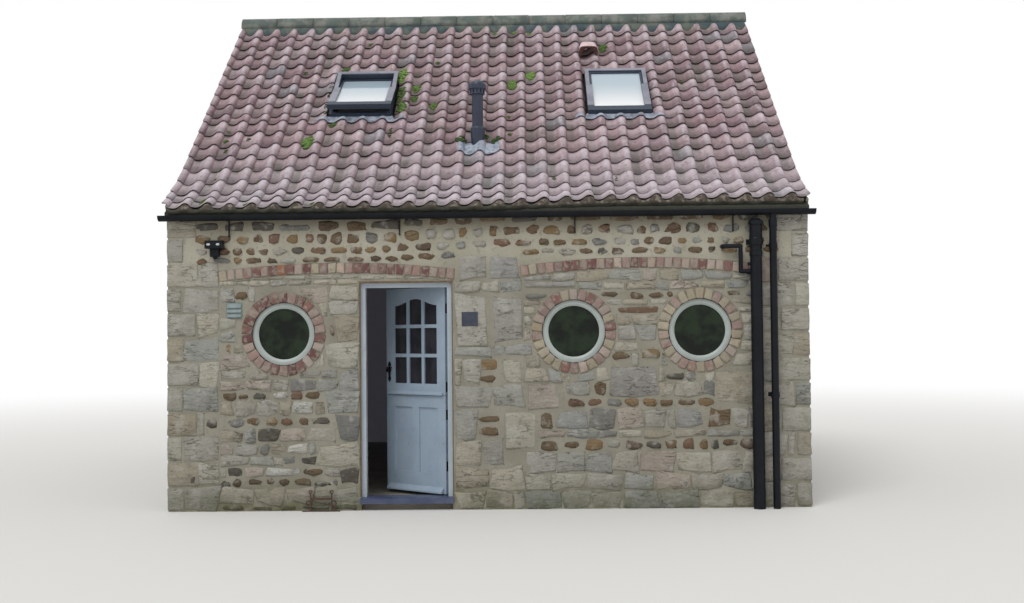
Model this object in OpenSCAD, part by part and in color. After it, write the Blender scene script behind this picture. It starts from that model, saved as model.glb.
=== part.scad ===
// Small stone cottage with a pantile roof, three round windows and a stable door.
// The front faces -Y. The origin is on the ground, at the middle of the footprint.
// Front-local coordinates have y = 0 at the outer face of the front wall.

/* [Walls] */
// Width of the front, outside to outside
wall_width = 6060; // [5900:10:6600]
// Depth from front to back, outside to outside
wall_depth = 6200; // [5600:10:6800]
// Thickness of the stone walls
wall_thick = 450; // [400:5:480]
// Height of the wall heads at their outer face
wall_height = 2800; // [2700:10:3000]
// Height of the floor above the ground
floor_height = 100; // [60:5:110]

/* [Roof] */
// Pitch of the main slopes in degrees
roof_pitch = 40.2; // [36:0.1:46]
// Pitch of the two lowest tile courses
foot_pitch = 29.3; // [24:0.1:34]
// Pitch of the third tile course
middle_pitch = 34; // [26:0.5:38]
// Distance from one tile course to the next
tile_gauge = 230; // [200:5:260]
// Width that one pantile covers
tile_width = 210; // [200:1:220]
// Thickness of the slopes at right angles to them, up to the middle of the tiles' waves
roof_thick = 145; // [125:5:180]
// Reach of the eaves beyond the wall
eaves_overhang = 100; // [60:5:120]
// Thickness of the slopes at their lower edge, tiles and all
eaves_edge = 90; // [75:5:100]
// Outer radius of the half-round ridge tiles
ridge_radius = 130; // [110:5:150]
// Height of the ridge tiles' axis above the apex
ridge_lift = -50; // [-60:5:-35]

/* [Round windows] */
// Places of the round windows along the front
porthole_x = [-1930, 820, 2010];
// Height of their centres
porthole_z = 1670; // [1600:5:1750]
// Outer radius of the window frames
porthole_radius = 295; // [260:5:310]
// Radius of the glass that shows
porthole_sight = 241; // [200:1:250]
// Outer radius of the brick rings
brick_ring_radius = 400; // [380:5:420]

/* [Brick arches] */
// Centres of the two relieving arches along the front
arch_x = [-1425, 1440];
// Heights of their undersides at the crown
arch_crown = [2240, 2262];
// Clear span of an arch
arch_span = 2230; // [2000:10:2300]
// Rise of an arch
arch_rise = 70; // [50:5:120]
// Bricks in an arch, set on edge
arch_bricks = 28; // [20:1:32]
// Depth of the brickwork into the wall, half a brick
brick_depth = 102; // [90:1:110]

/* [Door] */
// Left side of the door frame along the front
door_left = -1200; // [-1260:5:-1150]
// Width of the door frame, outside to outside
door_width = 865; // [850:1:900]
// Height of the top of the door frame
door_top = 2145; // [2120:5:2160]
// Angle at which both leaves stand open
door_open = 38; // [0:1:85]
// Thickness of the leaves
leaf_thick = 44; // [38:1:50]
// Height of the middle of the gap between the leaves
leaf_split = 1065; // [1000:5:1100]

/* [Rooflights] */
// Places of the rooflights along the front
rooflight_x = [-1385, 1390];
// Distance from the lower edge of a rooflight to the start of the main slope
rooflight_start = 1130; // [1070:10:1270]
// Width over the covers
rooflight_width = 680; // [600:10:720]
// Length over the covers
rooflight_length = 930; // [780:10:1000]
// Angle at which the left sash stands open
sash_open = 10; // [0:1:15]

/* [Rainwater and waste pipes] */
// Outer radius of the half-round gutters
gutter_radius = 52; // [50:1:60]
// Distance from the wall to the axis of a gutter
gutter_out = 85; // [80:1:95]
// Places of the gutter brackets along the front
bracket_x = [-2440, -820, 840, 2330];
// Place of the rainwater pipe along the front
rain_pipe_x = 2690; // [2660:5:2750]
// Outer radius of the rainwater pipe
rain_pipe_radius = 34; // [30:1:38]
// Place of the soil stack along the front
soil_x = 2530; // [2500:5:2550]
// Outer radius of the soil stack
soil_radius = 55; // [50:1:56]
// Height of the top of the soil stack
soil_top = 2690; // [2600:5:2700]
// Place of the vent pipe along the roof
vent_pipe_x = -112; // [-300:1:300]

/* [Hidden] */

$fn = 64;
half_width = wall_width / 2;
half_depth = wall_depth / 2;
inner_half = half_width - wall_thick;

// Points of the roof's cross-section, as [distance behind the front face, height]
function step_up(p, length, angle) = [p[0] + length * cos(angle), p[1] + length * sin(angle)];
eave = [-eaves_overhang, wall_height + eaves_edge];
cast_1 = step_up(eave, 2 * tile_gauge, foot_pitch);
cast_2 = step_up(cast_1, tile_gauge, middle_pitch);
function main_slope(y) = cast_2[1] + (y - cast_2[0]) * tan(roof_pitch);
apex = [half_depth, main_slope(half_depth)];
slope_drop = roof_thick / cos(roof_pitch);
inner_head = [wall_thick, main_slope(wall_thick) - slope_drop];
soffit_apex = [half_depth, apex[1] - slope_drop];
eave_foot = [-eaves_overhang, wall_height];
wall_head = [0, wall_height];
slope_corners = [eave, cast_1, cast_2, apex];
slope_pitch = [foot_pitch, middle_pitch, roof_pitch];
slope_underside = [
    eave_foot, wall_head, inner_head, soffit_apex, [half_depth, 2 * apex[1]], [-eaves_overhang, 2 * apex[1]]
];
wall_profile = [[0, 0], [wall_thick, 0], inner_head, wall_head];
gable_profile = [
    [wall_thick, 0], [wall_depth - wall_thick, 0],
    [wall_depth - wall_thick, inner_head[1]], soffit_apex, inner_head
];

// Mitres between the pitches of a slope: how far each leans back, and a point on one at a given height
mitre_lean = [0, (foot_pitch + middle_pitch) / 2, (middle_pitch + roof_pitch) / 2, 0];
mitre_reach = [60, -3 * roof_thick];
function on_mitre(i, rise) = slope_corners[i] + rise * [-sin(mitre_lean[i]), cos(mitre_lean[i])];

// Pantile waves: distance from the crest and rise above the slope's line, for the points of one tile
tile_wave = [[0, 31], [20, 22], [36, -8], [52, -22], [84, -27], [118, -20], [152, 0], [186, 24]];
first_crest = -2807;
first_tile = floor((-half_width - first_crest) / tile_width) - 1;
last_tile = ceil((half_width - first_crest) / tile_width) + 1;
trough = -30;

// Brick arch, as an outline with one flat for each brick
arch_inner_radius = (pow(arch_span / 2, 2) + pow(arch_rise, 2)) / (2 * arch_rise);
arch_half_angle = asin(arch_span / 2 / arch_inner_radius);
arch_depth = 103;
function arc(radius, from, to, steps) =
    [for (i = [0:steps]) let (a = from + (to - from) * i / steps) [radius * sin(a), radius * cos(a)]];
arch_outline = concat(
    arc(arch_inner_radius + arch_depth, -arch_half_angle, arch_half_angle, arch_bricks),
    arc(arch_inner_radius, arch_half_angle, -arch_half_angle, arch_bricks)
);

// Round windows, set back from the wall face
porthole_setback = 14;
porthole_depth = 60;
glass_rebate = 13;
glass_thick = 20;
glass_setback = 38;

// Door frame, stops and leaves
frame_front = 35;
frame_depth = 100;
jamb_width = 34;
stop_width = 11;
stop_depth = 50;
sill_top = 122;
sill_foot = 63;
sill_nose = 30;
leaf_gap = 7;
hinge_gap = 6;
leaf_front = frame_front + stop_depth + 5;
leaf_back = leaf_front + leaf_thick;
door_right = door_left + door_width;
rebate_left = door_left + jamb_width;
rebate_right = door_right - jamb_width;
leaf_right = rebate_right - hinge_gap;
leaf_width = leaf_right - rebate_left - leaf_gap;
leaf_top = door_top - jamb_width - leaf_gap;
leaf_foot = sill_top + 8;
split_half_gap = 3;
pin_x = rebate_right - hinge_gap / 2;
pin_y = leaf_back + 8;
stile = 108;
glazing_bar = 34;
light_width = (leaf_width - 2 * stile - 2 * glazing_bar) / 3;
light_foot = 1176;
bar_heights = [1449, 1733];
head_middle = 2000;
head_edge = 1935;
panel_foot = 322;
panel_head = 948;
muntin = 94;
panel_width = (leaf_width - 2 * stile - muntin) / 2;
hinge_height = 95;
hinge_radius = 7;
hinge_skin = 2;
upper_hinge_z = [1900, 1150];
lower_hinge_z = [885, 394];

leaf_left = leaf_right - leaf_width;
leaf_middle = (leaf_left + leaf_right) / 2;
swept_half = leaf_width / 2 - stile;
head_steps = 6;
weather_inset = 29;
glass_bed = 16;
door_glass_thick = 14;
panel_sink = 14;
latch_z = 1288;
latch_x = leaf_left + 40;
latch_plate = [
    [0, -102], [14, -84], [22, -62], [12, -48], [15, 0], [28, 14], [15, 28], [12, 52],
    [22, 66], [14, 86], [0, 102], [-14, 86], [-22, 66], [-12, 52], [-15, 28], [-28, 14],
    [-15, 0], [-12, -48], [-22, -62], [-14, -84]
];
knob_z = latch_z + 14;
lever_z = latch_z + 34;

// Rooflights, with heights above the slope
cover_split = 0.4;
upstand = 51;
cover_thick = 15;
cover_top = upstand + cover_thick;
cover_skirt = 40;
sash_depth = 50;
pane_depth = 35;
lining_edge = 34;
lining_half = rooflight_width / 2 - 30;
clear_half = rooflight_width / 2 - 44;
clear_edge = 48;
sash_half = clear_half - 5;
sash_edge = clear_edge + 8;
sash_rail = 22;

// Lead, dressed over the tiles, and the sunk tray that a rooflight stands in
lead_skin = 5;
apron_half = 480;
apron_length = 130;
apron_flat = 34;
apron_bed = 4;
tray_margin = 20;
tray_half = rooflight_width / 2 + tray_margin;
slate_start = 360;
slate_half = 215;
slate_length = 360;

// Gutters and pipes
gutter_axis = wall_height - 5;
gutter_half = half_width + 59;
gutter_skin = 3;
bracket_foot = wall_height - 190;
pipe_top = wall_height - 100;
rain_clips = [1060, 2450];
rear_pipe_x = -rain_pipe_x;
soil_out = 80;
soil_outline = [
    [0, 0], [soil_radius, 0], [soil_radius, soil_top - 336], [soil_radius + 6, soil_top - 330],
    [soil_radius + 6, soil_top - 288], [soil_radius, soil_top - 282], [soil_radius, soil_top - 226],
    [soil_radius + 8, soil_top - 226], [soil_radius + 8, soil_top - 170], [soil_radius + 4, soil_top - 160],
    [soil_radius + 4, soil_top - 40], [soil_radius + 14, soil_top - 36], [soil_radius + 14, soil_top - 6],
    [soil_radius + 8, soil_top], [soil_radius - 8, soil_top + 10], [soil_radius - 20, soil_top + 22],
    [0, soil_top + 22]
];
waste_x = 2226;
waste_turn = 2390;
waste_top = 2455;
waste_low = 2216;
waste_out = 60;
waste_radius = 20;

// Vent pipe and vent hood on the front slope
vent_pipe_y = 960;
vent_pipe_radius = 57;
vent_pipe_foot = main_slope(vent_pipe_y) - 245;
vent_pipe_base = main_slope(vent_pipe_y) - 90;
vent_pipe_top = main_slope(vent_pipe_y) + 640;
collar_outline = [
    [0, 0], [vent_pipe_radius + 4, 0], [vent_pipe_radius + 19, 190], [vent_pipe_radius + 19, 222],
    [vent_pipe_radius + 11, 236], [0, 236]
];
cap_outline = [
    [0, 0], [vent_pipe_radius + 33, 0], [vent_pipe_radius + 33, 44], [vent_pipe_radius + 20, 70],
    [vent_pipe_radius - 8, 84], [vent_pipe_radius - 24, 84], [vent_pipe_radius - 27, 96], [0, 100]
];
neck_foot = vent_pipe_top - 155;
neck_height = 56;
neck_slots = 12;
hood_x = 1115;
hood_start = 2420;
hood_half = 125;
hood_length = 235;
hood_plan = [
    [-hood_half, 0], [hood_half, 0], [117, 150], [68, hood_length], [-68, hood_length], [-117, 150]
];
hood_height = 106;
hood_back_height = 55;
mouth_radius = 88;
mouth_sink = 10;
mouth_depth = 0.6 * hood_length;
tile_skin = 14;
ridge_reach = 32;

// Fittings on the front wall
louvre_x = -2397;
louvre_z = 1898;
louvre_size = 148;
sign_x = -163;
sign_z = 1795;
lamp_x = -2567;
lamp_z = 2534;
scraper_x = -1572;
scraper_post = 100;
blade_z = 119;
loop_foot = 158;
loop_outside = [[-4, 0], [4, 0], [19, 32], [13, 41], [-13, 41], [-19, 32]];
loop_inside = [[0, 14], [9, 29], [6, 33], [-6, 33], [-9, 29]];
scroll_z = 78;
scroll_radius = 27;
ground_bar_half = 178;

// Puts front-local shapes in place
module at_front() {
    translate([0, -half_depth, 0]) children();
}

// Extrudes a [y, z] outline along X, from x0 to x1
module along_x(x0, x1) {
    translate([x0, 0, 0]) rotate([90, 0, 90]) linear_extrude(x1 - x0) children();
}

// Extrudes an [x, z] outline into the wall, from y0 to y1
module into_wall(y0, y1) {
    translate([0, y1, 0]) rotate([90, 0, 0]) linear_extrude(y1 - y0) children();
}

// Box between two corners
module block(a, b) {
    translate(a) cube(b - a);
}

// Stands children on the main slope: x across, y up the slope, z out of it
module on_slope(x, distance) {
    translate([x, cast_2[0], cast_2[1]]) rotate([roof_pitch, 0, 0]) translate([0, distance, 0]) children();
}

// Extrudes an [x, z] outline up the slope, from y0 to y1
module up_slope(y0, y1) {
    translate([0, y1, 0]) rotate([90, 0, 0]) linear_extrude(y1 - y0) children();
}

// Area under the waves of the tiles, raised by a given height
module wave_area(rise) {
    polygon(concat(
        [[first_crest + tile_width * first_tile, mitre_reach[1]]],
        [for (n = [first_tile:last_tile], p = tile_wave) [first_crest + tile_width * n + p[0], p[1] + rise]],
        [[first_crest + tile_width * (last_tile + 1), mitre_reach[1]]]
    ));
}

// Sheet of a given thickness that lies on the waves, between two places along the roof
module wave_sheet(x0, x1, skin) {
    difference() {
        intersection() {
            wave_area(skin);
            translate([x0, mitre_reach[1]]) square([x1 - x0, mitre_reach[0] - mitre_reach[1]]);
        }
        wave_area(0);
    }
}

// Floor slab with the tongue that carries the sill
module floor_slab() color("#8f8a80") {
    at_front() {
        union() {
            block([-inner_half, wall_thick, 0], [inner_half, wall_depth - wall_thick, floor_height]);
            block([door_left, 150, 0], [door_right, wall_thick + 1, floor_height]);
            block([door_left, 60, 0], [door_right, 151, sill_foot]);
        }
    }
}

module arch_shape(i) {
    translate([arch_x[i], arch_crown[i] - arch_inner_radius]) polygon(arch_outline);
}

module at_porthole(i) {
    translate([porthole_x[i], 0, porthole_z]) rotate([-90, 0, 0]) children();
}

// Everything cut out of the front wall
module front_wall_cuts() {
    for (i = [0:2]) {
        at_porthole(i) translate([0, 0, -1]) cylinder(h = wall_thick + 2, r = porthole_radius);
        at_porthole(i) translate([0, 0, -1]) cylinder(h = brick_depth + 1, r = brick_ring_radius);
    }
    for (i = [0:1]) {
        into_wall(-1, brick_depth) arch_shape(i);
    }
}

module front_wall_piece(x0, x1, z0) {
    at_front() difference() {
        along_x(x0, x1) polygon(wall_profile);
        if (z0 > 0) {
            block([x0 - 1, -1, -1], [x1 + 1, wall_thick + 1, z0]);
        }
        front_wall_cuts();
    }
}

module front_wall_left() color("#a9a595") {
    front_wall_piece(-half_width, door_left, 0);
}

module front_wall_over_door() color("#a9a595") {
    front_wall_piece(door_left, door_right, door_top);
}

module front_wall_right() color("#a9a595") {
    front_wall_piece(door_right, half_width, 0);
}

module gable_wall(x0, x1) {
    at_front() along_x(x0, x1) polygon(gable_profile);
}

module left_gable_wall() color("#a39f90") {
    gable_wall(-half_width, -inner_half);
}

module right_gable_wall() color("#a39f90") {
    gable_wall(inner_half, half_width);
}

module rear_wall() color("#a39f90") {
    mirror([0, 1, 0]) at_front() along_x(-half_width, half_width) polygon(wall_profile);
}

module brick_arch(i) {
    at_front() into_wall(0, brick_depth) arch_shape(i);
}

module brick_arch_left() color("#a8705e") {
    brick_arch(0);
}

module brick_arch_right() color("#a8705e") {
    brick_arch(1);
}

module brick_ring(i) {
    at_front() at_porthole(i) difference() {
        cylinder(h = brick_depth, r = brick_ring_radius);
        translate([0, 0, -1]) cylinder(h = brick_depth + 2, r = porthole_radius);
    }
}

module brick_ring_left() color("#9c5b4e") {
    brick_ring(0);
}

module brick_ring_middle() color("#b58f7a") {
    brick_ring(1);
}

module brick_ring_right() color("#b58f7a") {
    brick_ring(2);
}

// Window frame turned in one piece, with a bevel outside and a rebate for the glass
module porthole_frame(i) {
    glass_radius = porthole_sight + glass_rebate;
    at_front() at_porthole(i) translate([0, 0, porthole_setback]) rotate_extrude() polygon([
        [porthole_sight + 20, 0], [porthole_radius, 0], [porthole_radius, porthole_depth],
        [glass_radius, porthole_depth], [glass_radius, glass_setback - porthole_setback],
        [porthole_sight, glass_setback - porthole_setback], [porthole_sight, 12]
    ]);
}

module porthole_frame_left() color("#b9c3b9") {
    porthole_frame(0);
}

module porthole_frame_middle() color("#b9c3b9") {
    porthole_frame(1);
}

module porthole_frame_right() color("#b9c3b9") {
    porthole_frame(2);
}

// Frame of the stable door: two jambs and a head
module door_frame() color("#97a5b4") {
    at_front() difference() {
        block([door_left, frame_front, sill_top], [door_right, frame_front + frame_depth, door_top]);
        block([rebate_left, frame_front - 1, sill_top - 1],
            [rebate_right, frame_front + frame_depth + 1, door_top - jamb_width]);
        for (z = concat(upper_hinge_z, lower_hinge_z)) {
            hinge_flap(rebate_right, z, leaf_back + 1);
        }
    }
}

// Planted stop that the leaves close against
module door_stop() color("#9ba9b7") {
    at_front() difference() {
        block([rebate_left, frame_front, sill_top],
            [rebate_right, frame_front + stop_depth, door_top - jamb_width]);
        block([rebate_left + stop_width, frame_front - 1, sill_top - 1],
            [rebate_right - stop_width, frame_front + stop_depth + 1, door_top - jamb_width - stop_width]);
    }
}

// Threshold with a sloped nose that runs past the frame on both sides
module door_sill() color("#4b5578") {
    horn = 8;
    at_front() union() {
        along_x(door_left, door_right) polygon([
            [0, sill_foot], [150, sill_foot], [150, sill_top], [frame_front, sill_top], [0, sill_top - 4]
        ]);
        along_x(door_left - horn, door_right + horn) polygon([
            [-sill_nose, sill_foot], [0, sill_foot], [0, sill_top - 4], [-sill_nose, sill_top - 12]
        ]);
    }
}

// Flap of a hinge, let into an edge at x. It reaches back to the given y
module hinge_flap(x, z, back) {
    block([x, leaf_front + 8, z - hinge_height / 2], [x + hinge_skin, back, z + hinge_height / 2]);
}

// Half of each hinge: a flap, and its knuckle from one height to another
module hinge_halves(x, heights, from, to) {
    for (z = heights) {
        union() {
            hinge_flap(x, z, leaf_back);
            block([x, leaf_back - 1, z + from], [x + hinge_skin, pin_y, z + to]);
            translate([pin_x, pin_y, z + from]) cylinder(h = to - from, r = hinge_radius, $fn = 32);
        }
    }
}

module frame_hinges() color("#1d2026") {
    at_front() hinge_halves(rebate_right, concat(upper_hinge_z, lower_hinge_z), -hinge_height / 2, -1);
}

// Turns the leaves about the hinge pins to the angle at which they stand open
module leaf_swing() {
    at_front() translate([pin_x, pin_y, 0]) rotate([0, 0, -door_open]) translate([-pin_x, -pin_y, 0])
        children();
}

module upper_door_hinges() color("#1d2026") {
    leaf_swing() hinge_halves(leaf_right - hinge_skin, upper_hinge_z, 1, hinge_height / 2);
}

module lower_door_hinges() color("#1d2026") {
    leaf_swing() hinge_halves(leaf_right - hinge_skin, lower_hinge_z, 1, hinge_height / 2);
}

// Board of a leaf between two heights, without the pockets for its hinges
module leaf_board(z0, z1, hinges) {
    difference() {
        block([leaf_left, leaf_front, z0], [leaf_right, leaf_back, z1]);
        for (z = hinges) {
            hinge_flap(leaf_right - hinge_skin, z, leaf_back + 1);
        }
    }
}

// Left side of a light, counted from the latch side
function light_left(i) = leaf_left + stile + i * (light_width + glazing_bar);

// Height of the swept head of the lights, a cosine across the leaf
function swept_head(x) =
    head_edge + (head_middle - head_edge) * (1 + cos(180 * (x - leaf_middle) / swept_half)) / 2;

// Outlines of the nine lights, in columns
module lights(grow) {
    for (i = [0:2]) {
        x0 = light_left(i) - grow;
        x1 = light_left(i) + light_width + grow;
        polygon(concat(
            [[x0, bar_heights[1] + glazing_bar / 2 - grow]],
            [[x1, bar_heights[1] + glazing_bar / 2 - grow]],
            [for (k = [0:head_steps]) let (x = x1 + (x0 - x1) * k / head_steps) [x, swept_head(x) + grow]]
        ));
        translate([x0, bar_heights[0] + glazing_bar / 2 - grow])
            square([x1 - x0, bar_heights[1] - bar_heights[0] - glazing_bar + 2 * grow]);
        translate([x0, light_foot - grow])
            square([x1 - x0, bar_heights[0] - glazing_bar / 2 - light_foot + 2 * grow]);
    }
}

// Board that throws water off the foot of a leaf
module weatherboard(z0, reach, height) {
    along_x(leaf_left + weather_inset, leaf_right - weather_inset) polygon([
        [leaf_front, z0], [leaf_front - reach, z0], [leaf_front - reach, z0 + height / 4],
        [leaf_front, z0 + height]
    ]);
}

// Upper leaf with nine lights under a swept head
module upper_door_leaf() color("#9aa7b5") {
    leaf_swing() union() {
        difference() {
            leaf_board(leaf_split + split_half_gap, leaf_top, upper_hinge_z);
            into_wall(leaf_front - 1, leaf_back + 1) lights(0);
            into_wall(leaf_front + glass_bed, leaf_front + glass_bed + door_glass_thick)
                translate([leaf_left + stile - 10, light_foot - 10])
                square([leaf_width - 2 * stile + 20, head_middle - light_foot + 20]);
        }
        weatherboard(leaf_split + split_half_gap, 24, 34);
    }
}

// One pane behind all nine lights, held in the leaf
module upper_door_glass() color("#5a6a72") {
    leaf_swing() into_wall(leaf_front + glass_bed, leaf_front + glass_bed + door_glass_thick)
        translate([leaf_left + stile - 10, light_foot - 10])
        square([leaf_width - 2 * stile + 20, head_middle - light_foot + 20]);
}

// Lower leaf with two sunk panels and a weatherboard
module lower_door_leaf() color("#8f9cab") {
    leaf_swing() union() {
        difference() {
            leaf_board(leaf_foot, leaf_split - split_half_gap, lower_hinge_z);
            for (i = [0:1]) {
                x0 = leaf_left + stile + i * (panel_width + muntin);
                for (y = [leaf_front - 1, leaf_back - panel_sink]) {
                    block([x0, y, panel_foot], [x0 + panel_width, y + panel_sink + 1, panel_head]);
                }
            }
        }
        weatherboard(leaf_foot + 5, 40, 56);
    }
}

// Latch plate with lobed ends, its round knob and the lever above it
module door_latch() color("#16181c") {
    leaf_swing() union() {
        into_wall(leaf_front - 4, leaf_front) translate([latch_x, latch_z]) polygon(latch_plate);
        into_wall(leaf_front - 26, leaf_front - 3) translate([latch_x, knob_z]) circle(r = 7);
        into_wall(leaf_front - 34, leaf_front - 25) translate([latch_x, knob_z]) circle(r = 19);
        into_wall(leaf_front - 14, leaf_front - 3) translate([latch_x - 30, lever_z]) square([64, 12]);
    }
}

// Stretch of a slope at one pitch, with the waves of its tiles, cut off at its mitres
module slope_stretch(i) {
    length = norm(slope_corners[i + 1] - slope_corners[i]);
    intersection() {
        translate([0, slope_corners[i][0], slope_corners[i][1]]) rotate([slope_pitch[i], 0, 0])
            up_slope(-2 * mitre_reach[0], length + 2 * mitre_reach[0]) wave_area(0);
        along_x(-half_width, half_width) intersection() {
            polygon([
                on_mitre(i, mitre_reach[0]), on_mitre(i, mitre_reach[1]),
                on_mitre(i + 1, mitre_reach[1]), on_mitre(i + 1, mitre_reach[0])
            ]);
            polygon(slope_underside);
        }
    }
}

// Slope of the roof with its bell-cast foot
module roof_slope() {
    at_front() union() {
        for (i = [0:2]) {
            slope_stretch(i);
        }
    }
}

module front_roof_slope() color("#96736e") {
    difference() {
        roof_slope();
        for (x = rooflight_x) {
            rooflight_place(x) {
                block([-lining_half, lining_edge, -2 * roof_thick],
                    [lining_half, rooflight_length - lining_edge, roof_thick]);
                block([-tray_half, 6, trough], [tray_half, rooflight_length + tray_margin, roof_thick]);
                block([-tray_half, -apron_flat, apron_bed], [tray_half, 7, roof_thick]);
            }
        }
        at_front() vent_pipe_cylinder(0, 2 * wall_height, vent_pipe_radius);
    }
}

module rear_roof_slope() color("#96736e") {
    rotate([0, 0, 180]) roof_slope();
}

// Half-round ridge tiles on two beds of mortar that fill the troughs of the slopes
module ridge_tiles() color("#46554b") {
    difference() {
        ridge_on_beds();
        at_front() slope_stretch(2);
        rotate([0, 0, 180]) at_front() slope_stretch(2);
    }
}

// Ridge tiles with mortar in their ends, and beds that reach down below the waves
module ridge_on_beds() {
    axis = apex[1] + ridge_lift;
    inner_radius = ridge_radius - 16;
    bed_inside = ridge_radius - 40;
    foot = ridge_radius + 6;
    bed_drop = 45;
    at_front() union() {
        along_x(-half_width - ridge_reach, half_width + ridge_reach) {
            difference() {
                translate([half_depth, axis]) circle(r = ridge_radius);
                translate([half_depth, axis]) circle(r = inner_radius);
                translate([0, axis - 2 * ridge_radius]) square([wall_depth, 2 * ridge_radius]);
            }
        }
        along_x(-half_width, half_width) {
            for (side = [-1, 1]) {
                polygon([
                    [half_depth + side * bed_inside, axis + 12],
                    [half_depth + side * (ridge_radius - 3), axis + 12],
                    [half_depth + side * foot, main_slope(half_depth - foot) - bed_drop],
                    [half_depth + side * bed_inside, main_slope(half_depth - bed_inside) - bed_drop]
                ]);
            }
        }
        for (x = [-half_width - ridge_reach + 8, half_width]) {
            along_x(x, x + ridge_reach - 8) {
                difference() {
                    translate([half_depth, axis]) circle(r = inner_radius + 2);
                    translate([0, axis - 2 * ridge_radius]) square([wall_depth, 2 * ridge_radius]);
                }
                translate([half_depth - bed_inside - 2, axis - 60]) square([2 * bed_inside + 4, 61]);
            }
        }
    }
}

// Puts rooflight shapes in place: x across, y up from the lower edge, z out of the slope
module rooflight_place(x) {
    at_front() on_slope(x, rooflight_start) children();
}

// Fixed frame of a rooflight: upstand, lining and the covers over its upper part
module rooflight_frame(x) {
    half = rooflight_width / 2;
    pivot = rooflight_length * (1 - cover_split);
    rooflight_place(x) difference() {
        union() {
            block([-half + 6, 6, trough], [half - 6, rooflight_length - 6, upstand]);
            block([-lining_half, lining_edge, -roof_thick],
                [lining_half, rooflight_length - lining_edge, 1]);
            block([-half, pivot + 2, upstand - cover_skirt], [half, rooflight_length, cover_top]);
        }
        block([-clear_half, clear_edge, -roof_thick - 1],
            [clear_half, rooflight_length - clear_edge, cover_top + 1]);
    }
}

module rooflight_frame_left() color("#74767f") {
    rooflight_frame(rooflight_x[0]);
}

module rooflight_frame_right() color("#74767f") {
    rooflight_frame(rooflight_x[1]);
}

// Turns a sash about its pivot
module sash_place(x, angle) {
    pivot = rooflight_length * (1 - cover_split);
    rooflight_place(x) translate([0, pivot, upstand]) rotate([-angle, 0, 0]) translate([0, -pivot, -upstand])
        children();
}

// Sash with the covers over its lower part
module rooflight_sash(x, angle) {
    half = rooflight_width / 2;
    pivot = rooflight_length * (1 - cover_split);
    sash_place(x, angle) difference() {
        union() {
            block([-sash_half, sash_edge, upstand - sash_depth],
                [sash_half, rooflight_length - sash_edge, upstand]);
            block([-sash_half, sash_edge, upstand - sash_depth], [sash_half, pivot, cover_top]);
            block([-half, -8, upstand + 1], [half, pivot - 2, cover_top]);
            block([-half, -8, upstand - cover_skirt], [half, 2, cover_top]);
        }
        block([-sash_half + sash_rail, sash_edge + sash_rail, -sash_depth],
            [sash_half - sash_rail, rooflight_length - sash_edge - sash_rail, cover_top + 1]);
    }
}

module rooflight_sash_left() color("#6b6d76") {
    rooflight_sash(rooflight_x[0], sash_open);
}

module rooflight_sash_right() color("#6b6d76") {
    rooflight_sash(rooflight_x[1], 0);
}

// Panes of the round windows and the rooflights
module window_glass() color("#6c7d86") {
    for (i = [0:2]) {
        at_front() at_porthole(i) translate([0, 0, glass_setback])
            cylinder(h = glass_thick, r = porthole_sight + glass_rebate);
    }
    for (i = [0:1]) {
        sash_place(rooflight_x[i], i == 0 ? sash_open : 0)
            block([-sash_half + sash_rail, sash_edge + sash_rail, upstand - pane_depth],
                [sash_half - sash_rail, rooflight_length - sash_edge - sash_rail,
                    upstand - pane_depth + glass_thick]);
    }
}

// Lead apron below a rooflight: flat against the frame, stepped down and dressed over the waves
module lead_apron(x) {
    at_front() on_slope(0, rooflight_start) union() {
        up_slope(-apron_length, -apron_flat) wave_sheet(x - apron_half, x + apron_half, lead_skin);
        up_slope(-apron_flat - 4, -apron_flat) difference() {
            translate([x - tray_half, trough]) square([2 * tray_half, apron_bed + lead_skin - trough]);
            wave_area(0);
        }
        block([x - tray_half, -apron_flat, apron_bed], [x + tray_half, 6, apron_bed + lead_skin]);
    }
}

// Lead aprons below the rooflights, and the lead slate round the vent pipe
module lead_flashings() color("#8a94a2") {
    for (x = rooflight_x) {
        lead_apron(x);
    }
    at_front() difference() {
        on_slope(0, slate_start) up_slope(0, slate_length)
            wave_sheet(vent_pipe_x - slate_half, vent_pipe_x + slate_half, lead_skin);
        vent_pipe_cylinder(0, 2 * wall_height, vent_pipe_radius);
    }
}

// Half-round gutter with closed ends and an outlet over the pipe
module gutter(outlet_x) {
    axis = [-gutter_out, gutter_axis];
    at_front() union() {
        along_x(-gutter_half, gutter_half) gutter_outline(gutter_radius - gutter_skin);
        for (x = [-gutter_half, gutter_half - gutter_skin]) {
            along_x(x, x + gutter_skin) gutter_outline(0);
        }
        difference() {
            translate([outlet_x, -gutter_out, pipe_top])
                cylinder(h = gutter_axis - pipe_top - gutter_radius + 8, r = rain_pipe_radius - 4);
            along_x(-gutter_half, gutter_half) translate(axis) circle(r = gutter_radius - gutter_skin);
        }
    }
}

// Lower half of a ring about the gutter's axis
module gutter_outline(hole) {
    translate([-gutter_out, gutter_axis]) difference() {
        circle(r = gutter_radius);
        circle(r = hole);
        translate([-2 * gutter_radius, 0]) square(4 * gutter_radius);
    }
}

module front_gutter() color("#1b1e26") {
    gutter(rain_pipe_x);
}

// Rear gutter with its own pipe down the rear wall
module rear_gutter() color("#1b1e26") {
    mirror([0, 1, 0]) union() {
        gutter(rear_pipe_x);
        rain_pipe(rear_pipe_x);
    }
}

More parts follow.
